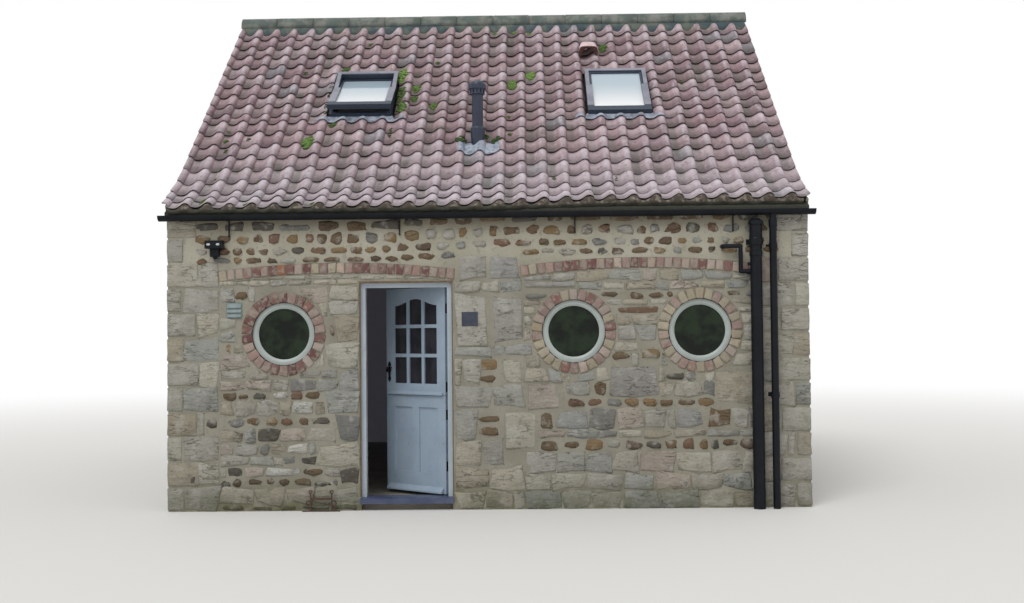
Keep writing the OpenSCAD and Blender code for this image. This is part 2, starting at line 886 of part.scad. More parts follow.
// Rise-and-fall brackets: a strap round the gutter on a stem that is turned into the wall
module gutter_brackets() color("#22252c") {
    strap = 5;
    for (x = bracket_x) {
        at_front() union() {
            along_x(x - 10, x + 10) translate([-gutter_out, gutter_axis]) difference() {
                circle(r = gutter_radius + strap);
                circle(r = gutter_radius);
                translate([-2 * gutter_radius, 0]) square(4 * gutter_radius);
            }
            block([x - 6, -22, bracket_foot], [x + 6, -12, gutter_axis - 10]);
            block([x - 6, -gutter_out + gutter_radius + 1, gutter_axis - 30], [x + 6, -20, gutter_axis - 10]);
            block([x - 7, -22, bracket_foot - 14], [x + 7, 0, bracket_foot]);
        }
    }
}

// Rainwater pipe with a socket at the top and clips to the wall
module rain_pipe(x) {
    at_front() union() {
        translate([x, -gutter_out, 0]) cylinder(h = pipe_top, r = rain_pipe_radius);
        translate([x, -gutter_out, pipe_top - 70]) cylinder(h = 70, r = rain_pipe_radius + 5);
        for (z = rain_clips) {
            translate([x, -gutter_out, z - 28]) cylinder(h = 56, r = rain_pipe_radius + 6);
            block([x - 22, -gutter_out, z - 20], [x + 22, -8, z + 20]);
            block([x - 52, -8, z - 20], [x + 52, 0, z + 20]);
        }
    }
}

module rain_downpipe() color("#191c25") {
    rain_pipe(rain_pipe_x);
}

// Soil stack with its sockets, a wall bracket, a capped top and a blanked boss
module soil_stack() color("#191c25") {
    at_front() union() {
        translate([soil_x, -soil_out, 0]) rotate_extrude() polygon(soil_outline);
        block([soil_x - 78, -soil_out + 50, soil_top - 222], [soil_x + 78, 0, soil_top - 172]);
        translate([soil_x - soil_radius - 24, -soil_out, soil_top - 405]) rotate([0, 90, 0])
            cylinder(h = 40, r = 15, $fn = 32);
    }
}

// Waste pipe from the wall to the stack
module waste_pipe() color("#1b1e26") {
    path = [
        [waste_x, 0, waste_top], [waste_x, -waste_out, waste_top], [waste_turn, -waste_out, waste_top],
        [waste_turn, -waste_out, waste_low], [soil_x - soil_radius - 6, -waste_out, waste_low]
    ];
    at_front() difference() {
        union() {
            for (i = [0:3]) {
                straight_pipe(path[i], path[i + 1], waste_radius);
            }
            for (i = [1:3]) {
                translate(path[i]) sphere(r = waste_radius, $fn = 32);
            }
            translate([soil_x - soil_radius - 30, -waste_out, waste_low]) rotate([0, 90, 0])
                cylinder(h = 60, r = waste_radius + 6, $fn = 32);
        }
        translate([soil_x, -soil_out, 0]) cylinder(h = soil_top, r = soil_radius);
    }
}

// Straight pipe along one of the axes
module straight_pipe(a, b, radius) {
    d = b - a;
    angle = abs(d[0]) > 0 ? [0, 90, 0] : abs(d[1]) > 0 ? [90, 0, 0] : [180, 0, 0];
    translate(a) rotate(angle) cylinder(h = norm(d), r = radius, $fn = 32);
}

// Upright cylinder about the vent pipe's axis, between two heights
module vent_pipe_cylinder(z0, z1, radius) {
    translate([vent_pipe_x, vent_pipe_y, z0]) cylinder(h = z1 - z0, r = radius);
}

// Vent pipe through the front slope: a collar that tapers down to the lead, a slotted neck and a domed cap
module roof_vent_pipe() color("#22262f") {
    at_front() union() {
        difference() {
            translate([vent_pipe_x, vent_pipe_y, vent_pipe_base]) rotate_extrude() polygon(collar_outline);
            on_slope(0, slate_start) {
                up_slope(0, slate_length) wave_area(lead_skin);
                up_slope(slate_length - 1, 2 * slate_length) wave_area(0);
            }
        }
        vent_pipe_cylinder(vent_pipe_foot, vent_pipe_top - 60, vent_pipe_radius);
        difference() {
            vent_pipe_cylinder(neck_foot, neck_foot + neck_height, vent_pipe_radius + 20);
            for (i = [1:neck_slots]) {
                translate([vent_pipe_x, vent_pipe_y, neck_foot + 10]) rotate([0, 0, 360 / neck_slots * i])
                    block([-7, -vent_pipe_radius - 30, 0], [7, -vent_pipe_radius - 8, neck_height - 20]);
            }
        }
        translate([vent_pipe_x, vent_pipe_y, neck_foot + neck_height - 1]) rotate_extrude()
            polygon(cap_outline);
    }
}

// Terracotta vent tile: a tapered hood with an arched mouth towards the eaves, on a wave of its own
module terracotta_vent_hood() color("#c9998a") {
    at_front() on_slope(0, hood_start) difference() {
        intersection() {
            translate([hood_x, 0, trough - 1]) linear_extrude(2 * hood_height) polygon(hood_plan);
            along_x(hood_x - hood_half - 10, hood_x + hood_half + 10) polygon([
                [0, trough - 1], [hood_length, trough - 1], [hood_length, hood_back_height],
                [hood_length / 2, hood_height], [tile_skin, hood_height], [0, hood_height - tile_skin]
            ]);
        }
        up_slope(-1, mouth_depth) difference() {
            translate([hood_x, -mouth_sink]) circle(r = mouth_radius);
            wave_area(tile_skin);
        }
        up_slope(-1, hood_length + 1) wave_area(0);
    }
}

// Cover of a wall vent with three sloping flaps
module louvre_vent() color("#a9b6c2") {
    at_front() translate([louvre_x, 0, louvre_z]) union() {
        block([-louvre_size / 2, -6, -louvre_size / 2], [louvre_size / 2, 0, louvre_size / 2]);
        for (i = [0:2]) {
            z0 = -louvre_size / 2 + 10 + i * 44;
            along_x(-louvre_size / 2 + 8, louvre_size / 2 - 8)
                polygon([[-5, z0 + 40], [-5, z0], [-20, z0], [-20, z0 + 4]]);
        }
    }
}

// Bare slate plate beside the door
module house_sign() color("#4c505a") {
    at_front() block([sign_x - 76, -12, sign_z - 67], [sign_x + 76, 0, sign_z + 67]);
}

// Outside light: a wall plate, a deep head, and a sensor body with a dome under it
module outside_lamp() color("#1a1b1f") {
    at_front() translate([lamp_x, 0, lamp_z]) union() {
        block([-40, -16, -112], [40, 0, 16]);
        along_x(-80, 80) polygon([
            [-14, -48], [-112, -52], [-120, -44], [-120, 12], [-108, 24], [-22, 24], [-14, 12]
        ]);
        along_x(-42, 42) polygon([[-14, -124], [-64, -128], [-74, -118], [-74, -46], [-14, -46]]);
        translate([0, -44, -126]) sphere(r = 24, $fn = 32);
    }
}

// Iron boot scraper: a blade between two posts with looped tops and scroll rings, on a ground bar
module boot_scraper() color("#5f3b2a") {
    at_front() translate([scraper_x, 0, 0]) union() {
        for (side = [-1, 1]) {
            block([side * scraper_post - 6, -60, 4], [side * scraper_post + 6, -48, loop_foot + 6]);
            into_wall(-59, -49) translate([side * scraper_post, loop_foot]) difference() {
                polygon(loop_outside);
                polygon(loop_inside);
            }
            into_wall(-60, -48) translate([side * (scraper_post + 18), scroll_z]) difference() {
                circle(r = scroll_radius);
                circle(r = scroll_radius - 10);
            }
            block([side * scraper_post - 6, -60, 30], [side * scraper_post + 6, 0, 42]);
        }
        block([-scraper_post, -58, blade_z - 9], [scraper_post, -50, blade_z + 9]);
        block([-ground_bar_half, -62, 0], [ground_bar_half, -46, 10]);
    }
}

floor_slab();
front_wall_left();
front_wall_over_door();
front_wall_right();
left_gable_wall();
right_gable_wall();
rear_wall();
brick_arch_left();
brick_arch_right();
brick_ring_left();
brick_ring_middle();
brick_ring_right();
porthole_frame_left();
porthole_frame_middle();
porthole_frame_right();
window_glass();
door_frame();
door_stop();
door_sill();
front_roof_slope();
rear_roof_slope();
ridge_tiles();
rooflight_frame_left();
rooflight_frame_right();
rooflight_sash_left();
rooflight_sash_right();
lead_flashings();
front_gutter();
rear_gutter();
gutter_brackets();
rain_downpipe();
soil_stack();
waste_pipe();
roof_vent_pipe();
terracotta_vent_hood();
louvre_vent();
house_sign();
outside_lamp();
boot_scraper();
upper_door_leaf();
upper_door_glass();
lower_door_leaf();
door_latch();
frame_hinges();
upper_door_hinges();
lower_door_hinges();
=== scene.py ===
# %% [markdown]
# # A small stone cottage
# The cottage is one room under a steep pantile roof: rubble walls with squared corner stones, two
# flat brick arches, three round windows in brick rings, two rooflights and a stable door.
# The frame already holds every piece at its real size. This file gives each one its finish and adds
# what is too fine for the frame: the stones, bricks, tiles, lead, mouldings and moss.
# All lengths are in metres. The front faces -Y, and the origin is on the ground in the middle.

# %% Load the frame
import math
from collections import namedtuple

import bmesh
import bpy
import numpy as np
from mathutils import Matrix, Vector


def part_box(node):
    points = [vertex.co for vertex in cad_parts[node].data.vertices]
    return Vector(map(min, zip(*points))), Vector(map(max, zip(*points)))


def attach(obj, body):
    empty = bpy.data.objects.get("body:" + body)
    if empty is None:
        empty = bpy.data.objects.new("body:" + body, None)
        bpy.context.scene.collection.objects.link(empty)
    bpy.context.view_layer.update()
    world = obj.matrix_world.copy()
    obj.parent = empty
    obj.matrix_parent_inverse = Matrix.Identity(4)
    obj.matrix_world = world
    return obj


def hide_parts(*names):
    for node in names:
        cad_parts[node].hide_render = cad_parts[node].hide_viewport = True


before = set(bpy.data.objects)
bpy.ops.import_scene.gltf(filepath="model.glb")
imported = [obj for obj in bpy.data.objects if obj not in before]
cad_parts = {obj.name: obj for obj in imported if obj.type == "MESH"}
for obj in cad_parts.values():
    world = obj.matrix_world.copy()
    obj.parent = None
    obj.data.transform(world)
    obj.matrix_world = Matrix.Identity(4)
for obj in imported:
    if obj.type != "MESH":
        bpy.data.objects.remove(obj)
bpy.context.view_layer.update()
scene = bpy.context.scene
scene.view_settings.view_transform = "Standard"
print("nodes in the frame:", len(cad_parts))

# %% Planes of the walls, read from the frame
LEFT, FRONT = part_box("rear_wall")[0].x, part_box("front_wall_left")[0].y
RIGHT, BACK = -LEFT, -FRONT
WALL_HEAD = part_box("front_roof_slope")[0].z
DOOR_LEFT, DOOR_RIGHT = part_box("door_frame")[0].x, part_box("door_frame")[1].x
DOOR_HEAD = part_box("door_frame")[1].z
print("walls from", LEFT, FRONT, "to", RIGHT, BACK, "and", WALL_HEAD, "high")

# %% [markdown]
# ## Camera
# The photograph was taken from the yard, at eye height and almost square to the front. A camera
# is turned by three angles: it looks level when tipped up by 90 degrees, then it is tipped a
# little more, turned a little about the upright and rolled a little about its own line of sight.

# %% Camera
CAMERA_PLACE = (0.3937, FRONT - 10.9361, 1.6743)
CAMERA_TURN, CAMERA_TIP, CAMERA_ROLL = 0.814, 91.48, -0.575
SENSOR_WIDTH, FOCAL_LENGTH = 36.0, 40.67

camera_data = bpy.data.cameras.new("yard_camera")
camera_data.sensor_width, camera_data.lens = SENSOR_WIDTH, FOCAL_LENGTH
camera = bpy.data.objects.new("yard_camera", camera_data)
scene.collection.objects.link(camera)
camera.matrix_world = (
    Matrix.Translation(CAMERA_PLACE)
    @ Matrix.Rotation(math.radians(CAMERA_TURN), 4, "Z")
    @ Matrix.Rotation(math.radians(CAMERA_TIP), 4, "X")
    @ Matrix.Rotation(math.radians(CAMERA_ROLL), 4, "Z")
)
scene.camera = camera
print("camera at", [round(v, 2) for v in camera.location])

# %% [markdown]
# ## A small language for finishes
# A finish is a graph of nodes. Written out node by node it is long and hard to read, so `Shade`
# wraps one output socket and lets ordinary arithmetic build the Math nodes. `Finish` owns a
# material and adds any other node in one call: its type, its settings, then its inputs.
# Only base colour, roughness, glow and bump change over a surface here, and a few finishes blend
# two shaders, so that every one of them can be baked. What is the same all over is set on the
# shader's own socket.


# %% A shade, which is one output socket
class Shade:
    """A number or a colour that changes over a surface."""

    def __init__(self, finish, socket):
        self.finish, self.socket = finish, socket

    def _sum(self, operation, *values):
        return self.finish.node("ShaderNodeMath", {"operation": operation}, list(values))

    def __add__(self, other):
        return self._sum("ADD", self, other)

    def __sub__(self, other):
        return self._sum("SUBTRACT", self, other)

    def __mul__(self, other):
        return self._sum("MULTIPLY", self, other)

    def __rsub__(self, other):
        return self._sum("SUBTRACT", other, self)

    __radd__, __rmul__ = __add__, __mul__

    def most(self, other):
        return self._sum("MAXIMUM", self, other)

    def size(self):
        """The number without its sign."""
        return self._sum("ABSOLUTE", self)

    def ramp(self, low, high):
        """Runs softly from 0 at low to 1 at high."""
        inputs = {"Value": self, "From Min": low, "From Max": high}
        return self.finish.node("ShaderNodeMapRange", {"interpolation_type": "SMOOTHSTEP"}, inputs, "Result")


print("shades can be added, multiplied and ramped")

# %% A finish, which is a material and its nodes
NOISE_ROUGHNESS = 0.55


class Finish:
    """A material with one Principled shader, and the nodes that feed it."""

    def __init__(self, name, **constants):
        self.material = bpy.data.materials.new(name)
        self.material.use_nodes = True
        self.tree = self.material.node_tree
        self.shader = self.tree.nodes["Principled BSDF"]
        self.spot = self.node("ShaderNodeTexCoord", {}, [], "Object")
        for socket, value in constants.items():
            self.shader.inputs[socket.replace("_", " ")].default_value = value

    def node(self, kind, settings, inputs, output=0):
        made = self.tree.nodes.new(kind)
        for key, value in settings.items():
            setattr(made, key, value)
        pairs = inputs.items() if isinstance(inputs, dict) else enumerate(inputs)
        for key, value in pairs:
            self.feed(made.inputs[key], value)
        return Shade(self, made.outputs[output])

    def feed(self, socket, value):
        if isinstance(value, Shade):
            self.tree.links.new(value.socket, socket)
        else:
            socket.default_value = value

    def axis(self, name):
        """X, Y or Z of the spot on the surface, in metres."""
        return self.node("ShaderNodeSeparateXYZ", {}, [self.spot], name)

    def stretched(self, *scale):
        """The spot with its X, Y and Z scaled, for a pattern that is longer one way."""
        return self.node("ShaderNodeMapping", {}, {"Vector": self.spot, "Scale": scale})

    def noise(self, scale, detail=4.0, shift=0.0, spot=None):
        """Clouds from 0 to 1, about scale of them to a metre. Another shift gives other clouds."""
        place = {"Vector": spot or self.spot, "W": shift}
        grain = {"Scale": scale, "Detail": detail, "Roughness": NOISE_ROUGHNESS}
        return self.node("ShaderNodeTexNoise", {"noise_dimensions": "4D"}, place | grain)

    def read(self, attribute, output="Fac"):
        """What a mesh carries for each of its points."""
        return self.node("ShaderNodeAttribute", {"attribute_name": attribute}, [], output)

    def mix(self, share, first, second):
        """The first colour where share is 0, and the second where it is 1."""
        return self.node("ShaderNodeMix", {"data_type": "RGBA"}, {0: share, 6: first, 7: second}, 2)

    def scaled(self, colour, amount):
        """The colour made lighter or darker."""
        return self.node("ShaderNodeVectorMath", {"operation": "SCALE"}, {0: colour, 3: amount})

    def coat(self, colour, roughness=None):
        self.feed(self.shader.inputs["Base Color"], colour)
        if roughness is not None:
            self.feed(self.shader.inputs["Roughness"], roughness)

    def bump(self, height, distance):
        normal = self.node("ShaderNodeBump", {}, {"Height": height, "Distance": distance}, "Normal")
        self.feed(self.shader.inputs["Normal"], normal)

    def blend(self, share, second):
        """Shows a second shader instead of the first where share is 1."""
        first = Shade(self, self.shader.outputs[0])
        blended = self.node("ShaderNodeMixShader", {}, [share, first, second])
        self.feed(self.tree.nodes["Material Output"].inputs["Surface"], blended)


def paint(red, green, blue):
    """A colour as it is read off a screen, 0 to 255, made linear for the shader."""
    parts = [c / 255 for c in (red, green, blue)]
    return (*[c / 12.92 if c <= 0.04045 else ((c + 0.055) / 1.055) ** 2.4 for c in parts], 1.0)


print("mid grey is", [round(c, 3) for c in paint(128, 128, 128)])

# %% [markdown]
# ## Floor, sky and lamps
# A pale floor that fades to white hides its own edge, so no horizon shows. The sky is a plain dome:
# it lights the cottage softly, and is pure white where the camera, a mirror or a pane looks at it.
# One broad sun, high and a little to the left, gives the tiles and stones their soft shadows.

# %% Floor
FLOOR_RADIUS, FADE_START, FADE_END = 70.0, 6.0, 24.0
FLOOR_COLOUR = paint(222, 221, 218)

floor_mesh = bpy.data.meshes.new("studio_floor")
bm = bmesh.new()
bmesh.ops.create_circle(bm, cap_ends=True, segments=96, radius=FLOOR_RADIUS)
bm.to_mesh(floor_mesh)
bm.free()
floor = bpy.data.objects.new("studio_floor", floor_mesh)
scene.collection.objects.link(floor)

floor_finish = Finish("studio_floor", Roughness=0.95, Specular_IOR_Level=0.1)
floor_finish.coat(colour=FLOOR_COLOUR)
distance = floor_finish.node("ShaderNodeVectorMath", {"operation": "LENGTH"}, [floor_finish.spot], "Value")
glow = floor_finish.node("ShaderNodeEmission", {}, {"Color": (1, 1, 1, 1), "Strength": 1.0})
rays = [floor_finish.node("ShaderNodeLightPath", {}, [], ray) for ray in ("Is Camera Ray", "Is Glossy Ray")]
floor_finish.blend(rays[0].most(rays[1]) * distance.ramp(FADE_START, FADE_END), glow)
floor_mesh.materials.append(floor_finish.material)
print("floor reaches", FLOOR_RADIUS, "m and is white beyond", FADE_END, "m")

# %% Sky and sun
SKY_STRENGTH = 0.72
SUN_STRENGTH, SUN_SPREAD = 1.25, 28.0
SUN_AZIMUTH, SUN_HEIGHT = -24.0, 52.0

sky = bpy.data.worlds.new("studio_sky")
scene.world = sky
sky.use_nodes = True
background = sky.node_tree.nodes["Background"]
background.inputs["Color"].default_value = (1, 1, 1, 1)
path = sky.node_tree.nodes.new("ShaderNodeLightPath")
links = sky.node_tree.links
strength = path.outputs["Is Camera Ray"]
for ray in ("Is Glossy Ray", "Is Transmission Ray"):
    either = sky.node_tree.nodes.new("ShaderNodeMath")
    either.operation = "MAXIMUM"
    links.new(strength, either.inputs[0])
    links.new(path.outputs[ray], either.inputs[1])
    strength = either.outputs[0]
level = sky.node_tree.nodes.new("ShaderNodeMapRange")
level.inputs["To Min"].default_value = SKY_STRENGTH
links.new(strength, level.inputs["Value"])
links.new(level.outputs["Result"], background.inputs["Strength"])

sun_data = bpy.data.lights.new("soft_sun", "SUN")
sun_data.energy, sun_data.angle = SUN_STRENGTH, math.radians(SUN_SPREAD)
sun = bpy.data.objects.new("soft_sun", sun_data)
sun.rotation_euler = (math.radians(90 - SUN_HEIGHT), 0, math.radians(SUN_AZIMUTH))
scene.collection.objects.link(sun)
print("sky", SKY_STRENGTH, "and sun", SUN_STRENGTH)

# %% [markdown]
# ## From a bmesh to a piece
# Every new piece ends the same way: its bmesh becomes a mesh, the object rides with the body of the
# cottage, and it may stand for nodes of the frame that it hides.
# Stones, bricks and tiles are alike by the hundred. One pattern is modelled with operators, and
# `join_shapes` writes it out again and again, each copy with its own points, tint and seed. The
# finishes read the tint and the seed, so that one material gives each copy a look of its own.


# %% Helpers for pieces
def add_piece(name, mesh, finish, replaces=()):
    piece = bpy.data.objects.new(name, mesh)
    scene.collection.objects.link(piece)
    mesh.materials.append(finish.material)
    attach(piece, "cottage")
    if replaces:
        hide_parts(*replaces)
    print(name, "has", len(mesh.polygons), "faces")


def mesh_from(bm, name, smooth=True):
    bmesh.ops.recalc_face_normals(bm, faces=bm.faces)
    for face in bm.faces:
        face.smooth = smooth
    mesh = bpy.data.meshes.new(name)
    bm.to_mesh(mesh)
    bm.free()
    return mesh


def pattern_of(bm):
    """Points and faces of a small bmesh that is to be repeated."""
    points = np.array([v.co[:] for v in bm.verts])
    faces = [[v.index for v in f.verts] for f in bm.faces]
    bm.free()
    return points, faces


def join_shapes(name, shapes):
    """One mesh from many small shapes. A shape is its points, its faces, its tint or tints and its seed."""
    points, faces, tints, seeds = [], [], [], []
    for shape_points, shape_faces, tint, seed in shapes:
        faces += [[corner + len(tints) for corner in face] for face in shape_faces]
        points.append(shape_points)
        tints += np.broadcast_to(tint, (len(shape_points), 4)).tolist()
        seeds += [seed] * len(shape_points)
    mesh = bpy.data.meshes.new(name)
    mesh.from_pydata(np.concatenate(points).tolist(), [], faces)
    mesh.polygons.foreach_set("use_smooth", [True] * len(faces))
    tint_layer = mesh.attributes.new("tint", "FLOAT_COLOR", "POINT")
    tint_layer.data.foreach_set("color", np.array(tints, np.float32).ravel())
    seed_layer = mesh.attributes.new("seed", "FLOAT", "POINT")
    seed_layer.data.foreach_set("value", np.array(seeds, np.float32))
    mesh.update()
    return mesh


def add_shapes(name, shapes, finish, replaces=()):
    add_piece(name, join_shapes(name, shapes), finish, replaces)


def varied(colour, random, spread):
    """The colour a little lighter or darker, and a little warmer or cooler."""
    light = 1 + random.normal(0, spread)
    warm = random.normal(0, spread * 0.25)
    return (colour[0] * (light + warm), colour[1] * light, colour[2] * (light - warm), 1.0)


print("helpers ready")

# %% [markdown]
# ## Lime mortar and plaster
# The walls of the frame are flat. Outside they are the face of the mortar: sandy, pale and yellow
# under the eaves, darker and greener near the ground, and darker again just below the gutter as
# painted shadow. Inside they are limewashed plaster, with a very faint painted glow that stands in
# for the daylight that the dark panes keep out.
# One finish does both, and chooses by how far a spot is from the outer faces.


# %% Mortar and plaster
def mortar_finish():
    finish = Finish("lime_mortar", Roughness=0.95, Specular_IOR_Level=0.2)
    height = finish.axis("Z")
    patches = finish.noise(2.3, 5.0)
    lumps = finish.noise(19.0, 6.0)
    grains = finish.noise(120.0, 6.0)
    lower = finish.mix(patches.ramp(0.35, 0.65), paint(134, 131, 118), paint(148, 145, 132))
    upper = finish.mix(patches.ramp(0.3, 0.7), paint(158, 154, 138), paint(172, 168, 154))
    outside = finish.mix(height.ramp(2.15, 2.45), lower, upper)
    outside = finish.mix(lumps.ramp(0.54, 0.66) * 0.45, outside, paint(120, 116, 100))
    damp = (1 - height.ramp(0.0, 0.45)) * finish.noise(6.0).ramp(0.35, 0.6)
    outside = finish.mix(damp * 0.75, outside, paint(92, 92, 66))
    # Painted shadow: the band just below the gutter is darkened, as the shade of the eaves.
    shade = height.ramp(2.60, 2.74) * 0.55
    outside = finish.mix(shade, outside, paint(104, 94, 76))
    outside = finish.scaled(outside, 0.80 + 0.22 * grains + 0.20 * lumps)
    along, across = finish.axis("Y").size(), finish.axis("X").size()
    shell = along.ramp(BACK - 0.30, BACK - 0.26).most(across.ramp(RIGHT - 0.05, RIGHT - 0.04))
    finish.coat(colour=finish.mix(shell, paint(196, 192, 182), outside))
    # Painted light: inside, the plaster glows faintly in place of daylight.
    finish.feed(finish.shader.inputs["Emission Color"], finish.mix(shell, paint(34, 34, 40), paint(0, 0, 0)))
    finish.feed(finish.shader.inputs["Emission Strength"], 1.0)
    finish.bump(lumps * 0.7 + grains * 0.3, 0.014)
    return finish


def dress(finish, *nodes):
    """Gives nodes of the frame their finish."""
    for name in nodes:
        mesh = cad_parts[name].data
        mesh.materials.clear()
        mesh.materials.append(finish.material)


FRONT_WALLS = ["front_wall_left", "front_wall_over_door", "front_wall_right"]
lime_mortar = mortar_finish()
dress(lime_mortar, *FRONT_WALLS, "left_gable_wall", "right_gable_wall", "rear_wall")
print("mortar on", len(FRONT_WALLS) + 3, "walls")

# %% [markdown]
# ## The stone itself
# The rubble is pale limestone between brown and dark pieces. Each stone carries its own tint. The
# finish only breaks it up: flat beds run through the stone, pale and dark blotches lie on it, pits
# and a few cracks cut in, and damp turns the lowest stones green.


# %% Finish of the stones
def rubble_finish():
    finish = Finish("rubble_stone", Roughness=0.92, Specular_IOR_Level=0.2)
    seed = finish.read("seed") * 40.0
    layers = finish.stretched(0.7, 0.7, 3.0)
    grain = finish.noise(75.0, 6.0, seed)
    blotch = finish.noise(9.0, 5.0, seed)
    beds = finish.noise(9.0, 5.0, seed, layers)
    colour = finish.scaled(finish.read("tint", "Color"), 0.68 + 0.30 * grain + 0.34 * beds)
    colour = finish.mix(blotch.ramp(0.52, 0.66) * 0.5, colour, paint(174, 172, 163))
    colour = finish.mix((1 - blotch).ramp(0.55, 0.68) * 0.45, colour, paint(112, 107, 95))
    split = (finish.noise(6.5, 6.0, seed, layers) - 0.5).size()
    crack = (1 - split.ramp(0.0, 0.016)) * finish.noise(5.0, 3.0, seed).ramp(0.48, 0.58)
    colour = finish.mix(crack * 0.28, colour, paint(112, 106, 92))
    pitted = finish.noise(48.0, 5.0, seed).ramp(0.56, 0.68)
    colour = finish.mix(pitted * 0.38, colour, paint(104, 98, 84))
    height = finish.axis("Z")
    colour = finish.scaled(colour, 0.90 + 0.12 * height.ramp(0.2, 2.2))
    foot = (1 - height.ramp(0.0, 0.35)) * finish.noise(5.0).ramp(0.3, 0.6)
    finish.coat(colour=finish.mix(foot * 0.6, colour, paint(84, 88, 62)))
    finish.bump(beds * 0.8 + finish.noise(45.0, 6.0, seed) * 0.6 - crack * 0.3, 0.022)
    return finish


rubble_stone = rubble_finish()
print("finish of the stones ready")

# %% [markdown]
# ## One stone
# A stone shows one rough face, and its back is lost in the mortar. A flat grid makes that face:
# its outermost ring of points goes back into the wall, the next ring is the worn edge and the rest
# is the face. One more face closes the back. 31 faces are enough, because there are thousands.

# %% Pattern of a stone
STONE_COLUMNS, STONE_ROWS = 6, 5
BED_DEPTH = 0.03


def stone_pattern():
    bm = bmesh.new()
    bmesh.ops.create_grid(bm, x_segments=STONE_COLUMNS, y_segments=STONE_ROWS, size=1.0)
    rim = [edge for edge in bm.edges if edge.is_boundary]
    bmesh.ops.contextual_create(bm, geom=rim)
    return pattern_of(bm)


stone_grid, stone_faces = stone_pattern()
column = np.rint((stone_grid[:, 0] + 1) / 2 * STONE_COLUMNS).astype(int)
row = np.rint((stone_grid[:, 1] + 1) / 2 * STONE_ROWS).astype(int)
ring = np.minimum(np.minimum(column, STONE_COLUMNS - column), np.minimum(row, STONE_ROWS - row))
print("a stone has", len(stone_grid), "points and", len(stone_faces), "faces")


# %% Shape of one stone
def stone_points(width, height, proud, rounded, edge, rough, random, uneven=0.09):
    """Points of a stone about its middle, as across, up and out of the wall."""
    inset_u, inset_v = min(2 * edge / width, 0.6), min(2 * edge / height, 0.6)
    across = np.array([-1, -1, inset_u - 1, 0, 1 - inset_u, 1, 1])[column]
    up = np.array([-1, -1, inset_v - 1, 1 - inset_v, 1, 1])[row]
    shape = np.empty((len(across), 3))
    shape[:, 0] = across * np.sqrt(1 - rounded * up**2 / 2) * width / 2
    shape[:, 1] = up * np.sqrt(1 - rounded * across**2 / 2) * height / 2
    reach = min(uneven * min(width, height) * (1 - 0.45 * rounded), 0.013)
    for axis, own, other in ((0, across, up), (1, up, across)):
        bends = np.clip(random.normal(0, 1, 4), -1.5, 1.5) * reach
        hollow = 1 - other**2
        shape[:, axis] += bends[0] * other * own + bends[1] * other * 0.6
        shape[:, axis] += bends[2] * hollow * np.maximum(own, 0) + bends[3] * hollow * np.minimum(own, 0)
    worn = np.array([-BED_DEPTH, proud * 0.2, proud])[np.minimum(ring, 2)]
    tilt = random.normal(0, rough * 0.6, 2)
    shape[:, 2] = worn + (ring > 0) * (across * tilt[0] + up * tilt[1])
    shape[:, 2] += (column == STONE_COLUMNS // 2) * (ring > 1) * proud * 0.3 * rounded
    loose = np.clip(random.normal(0, rough, shape.shape), -2 * rough, 2 * rough) * (ring > 0)[:, None]
    return shape + loose * (1, 1, 1.2)


print("a stone goes", BED_DEPTH, "m into the mortar")

# %% [markdown]
# ## Laying the courses
# The mason brought the rubble up in rough courses: rows of squared stones, and between them rows
# of rounded cobbles with wide joints. Round a window, arch or doorway the row breaks off.
# A `Wall` knows its plane and what stands in the way. It fills each course from left to right with
# stones of random width, and then trims points that fall inside a ring or an arch back to its rim.

# %% Kinds of stone and their tints, widths in metres and fill as a share of the course
Kind = namedtuple("Kind", "widths gap fill rounded proud edge rough tints")
PALE, CREAM, WARM = paint(155, 152, 143), paint(162, 158, 145), paint(150, 144, 129)
GREY, SLATY, DARK = paint(143, 143, 137), paint(120, 119, 115), paint(88, 84, 78)
OCHRE, BROWN, RUSSET = paint(128, 108, 80), paint(106, 90, 72), paint(114, 92, 77)
UMBERY, PINKISH = paint(94, 81, 68), paint(156, 147, 137)
SQUARED = Kind((0.12, 0.30), 0.011, (0.98, 1.10), (0.10, 0.40), (0.006, 0.011), 0.013, 0.0030,
               [PALE] * 6 + [CREAM] * 5 + [GREY] * 4 + [WARM] * 4 + [PINKISH] * 2 + [SLATY])
BLOCK = Kind((0.24, 0.36), 0.009, (0.98, 1.06), (0.04, 0.16), (0.006, 0.011), 0.014, 0.0032,
             [PALE] * 5 + [CREAM] * 3 + [GREY] * 3 + [WARM, PINKISH])
COBBLE = Kind((0.07, 0.165), 0.046, (0.72, 1.0), (0.70, 1.00), (0.007, 0.016), 0.022, 0.0035,
              [OCHRE] * 4 + [BROWN] * 5 + [UMBERY] * 2 + [RUSSET] * 2 + [GREY, PALE, PALE, SLATY, DARK])
SLIP = Kind((0.14, 0.30), 0.014, (0.9, 1.0), (0.15, 0.30), (0.005, 0.010), 0.010, 0.0025, [CREAM, PALE])
# The flat stones take dark brown tints, and under the gutter that darkness is partly painted shade.
FLAT = Kind((0.14, 0.30), 0.060, (0.75, 1.0), (0.50, 0.80), (0.006, 0.014), 0.020, 0.0030,
            [BROWN] * 2 + [UMBERY] * 4 + [DARK] * 2 + [SLATY])
LEAST_WIDTH, LEAST_LEFT_OVER, SET_GAP = 0.055, 0.022, 0.008
print("a course is filled with stones from", LEAST_WIDTH, "m wide")


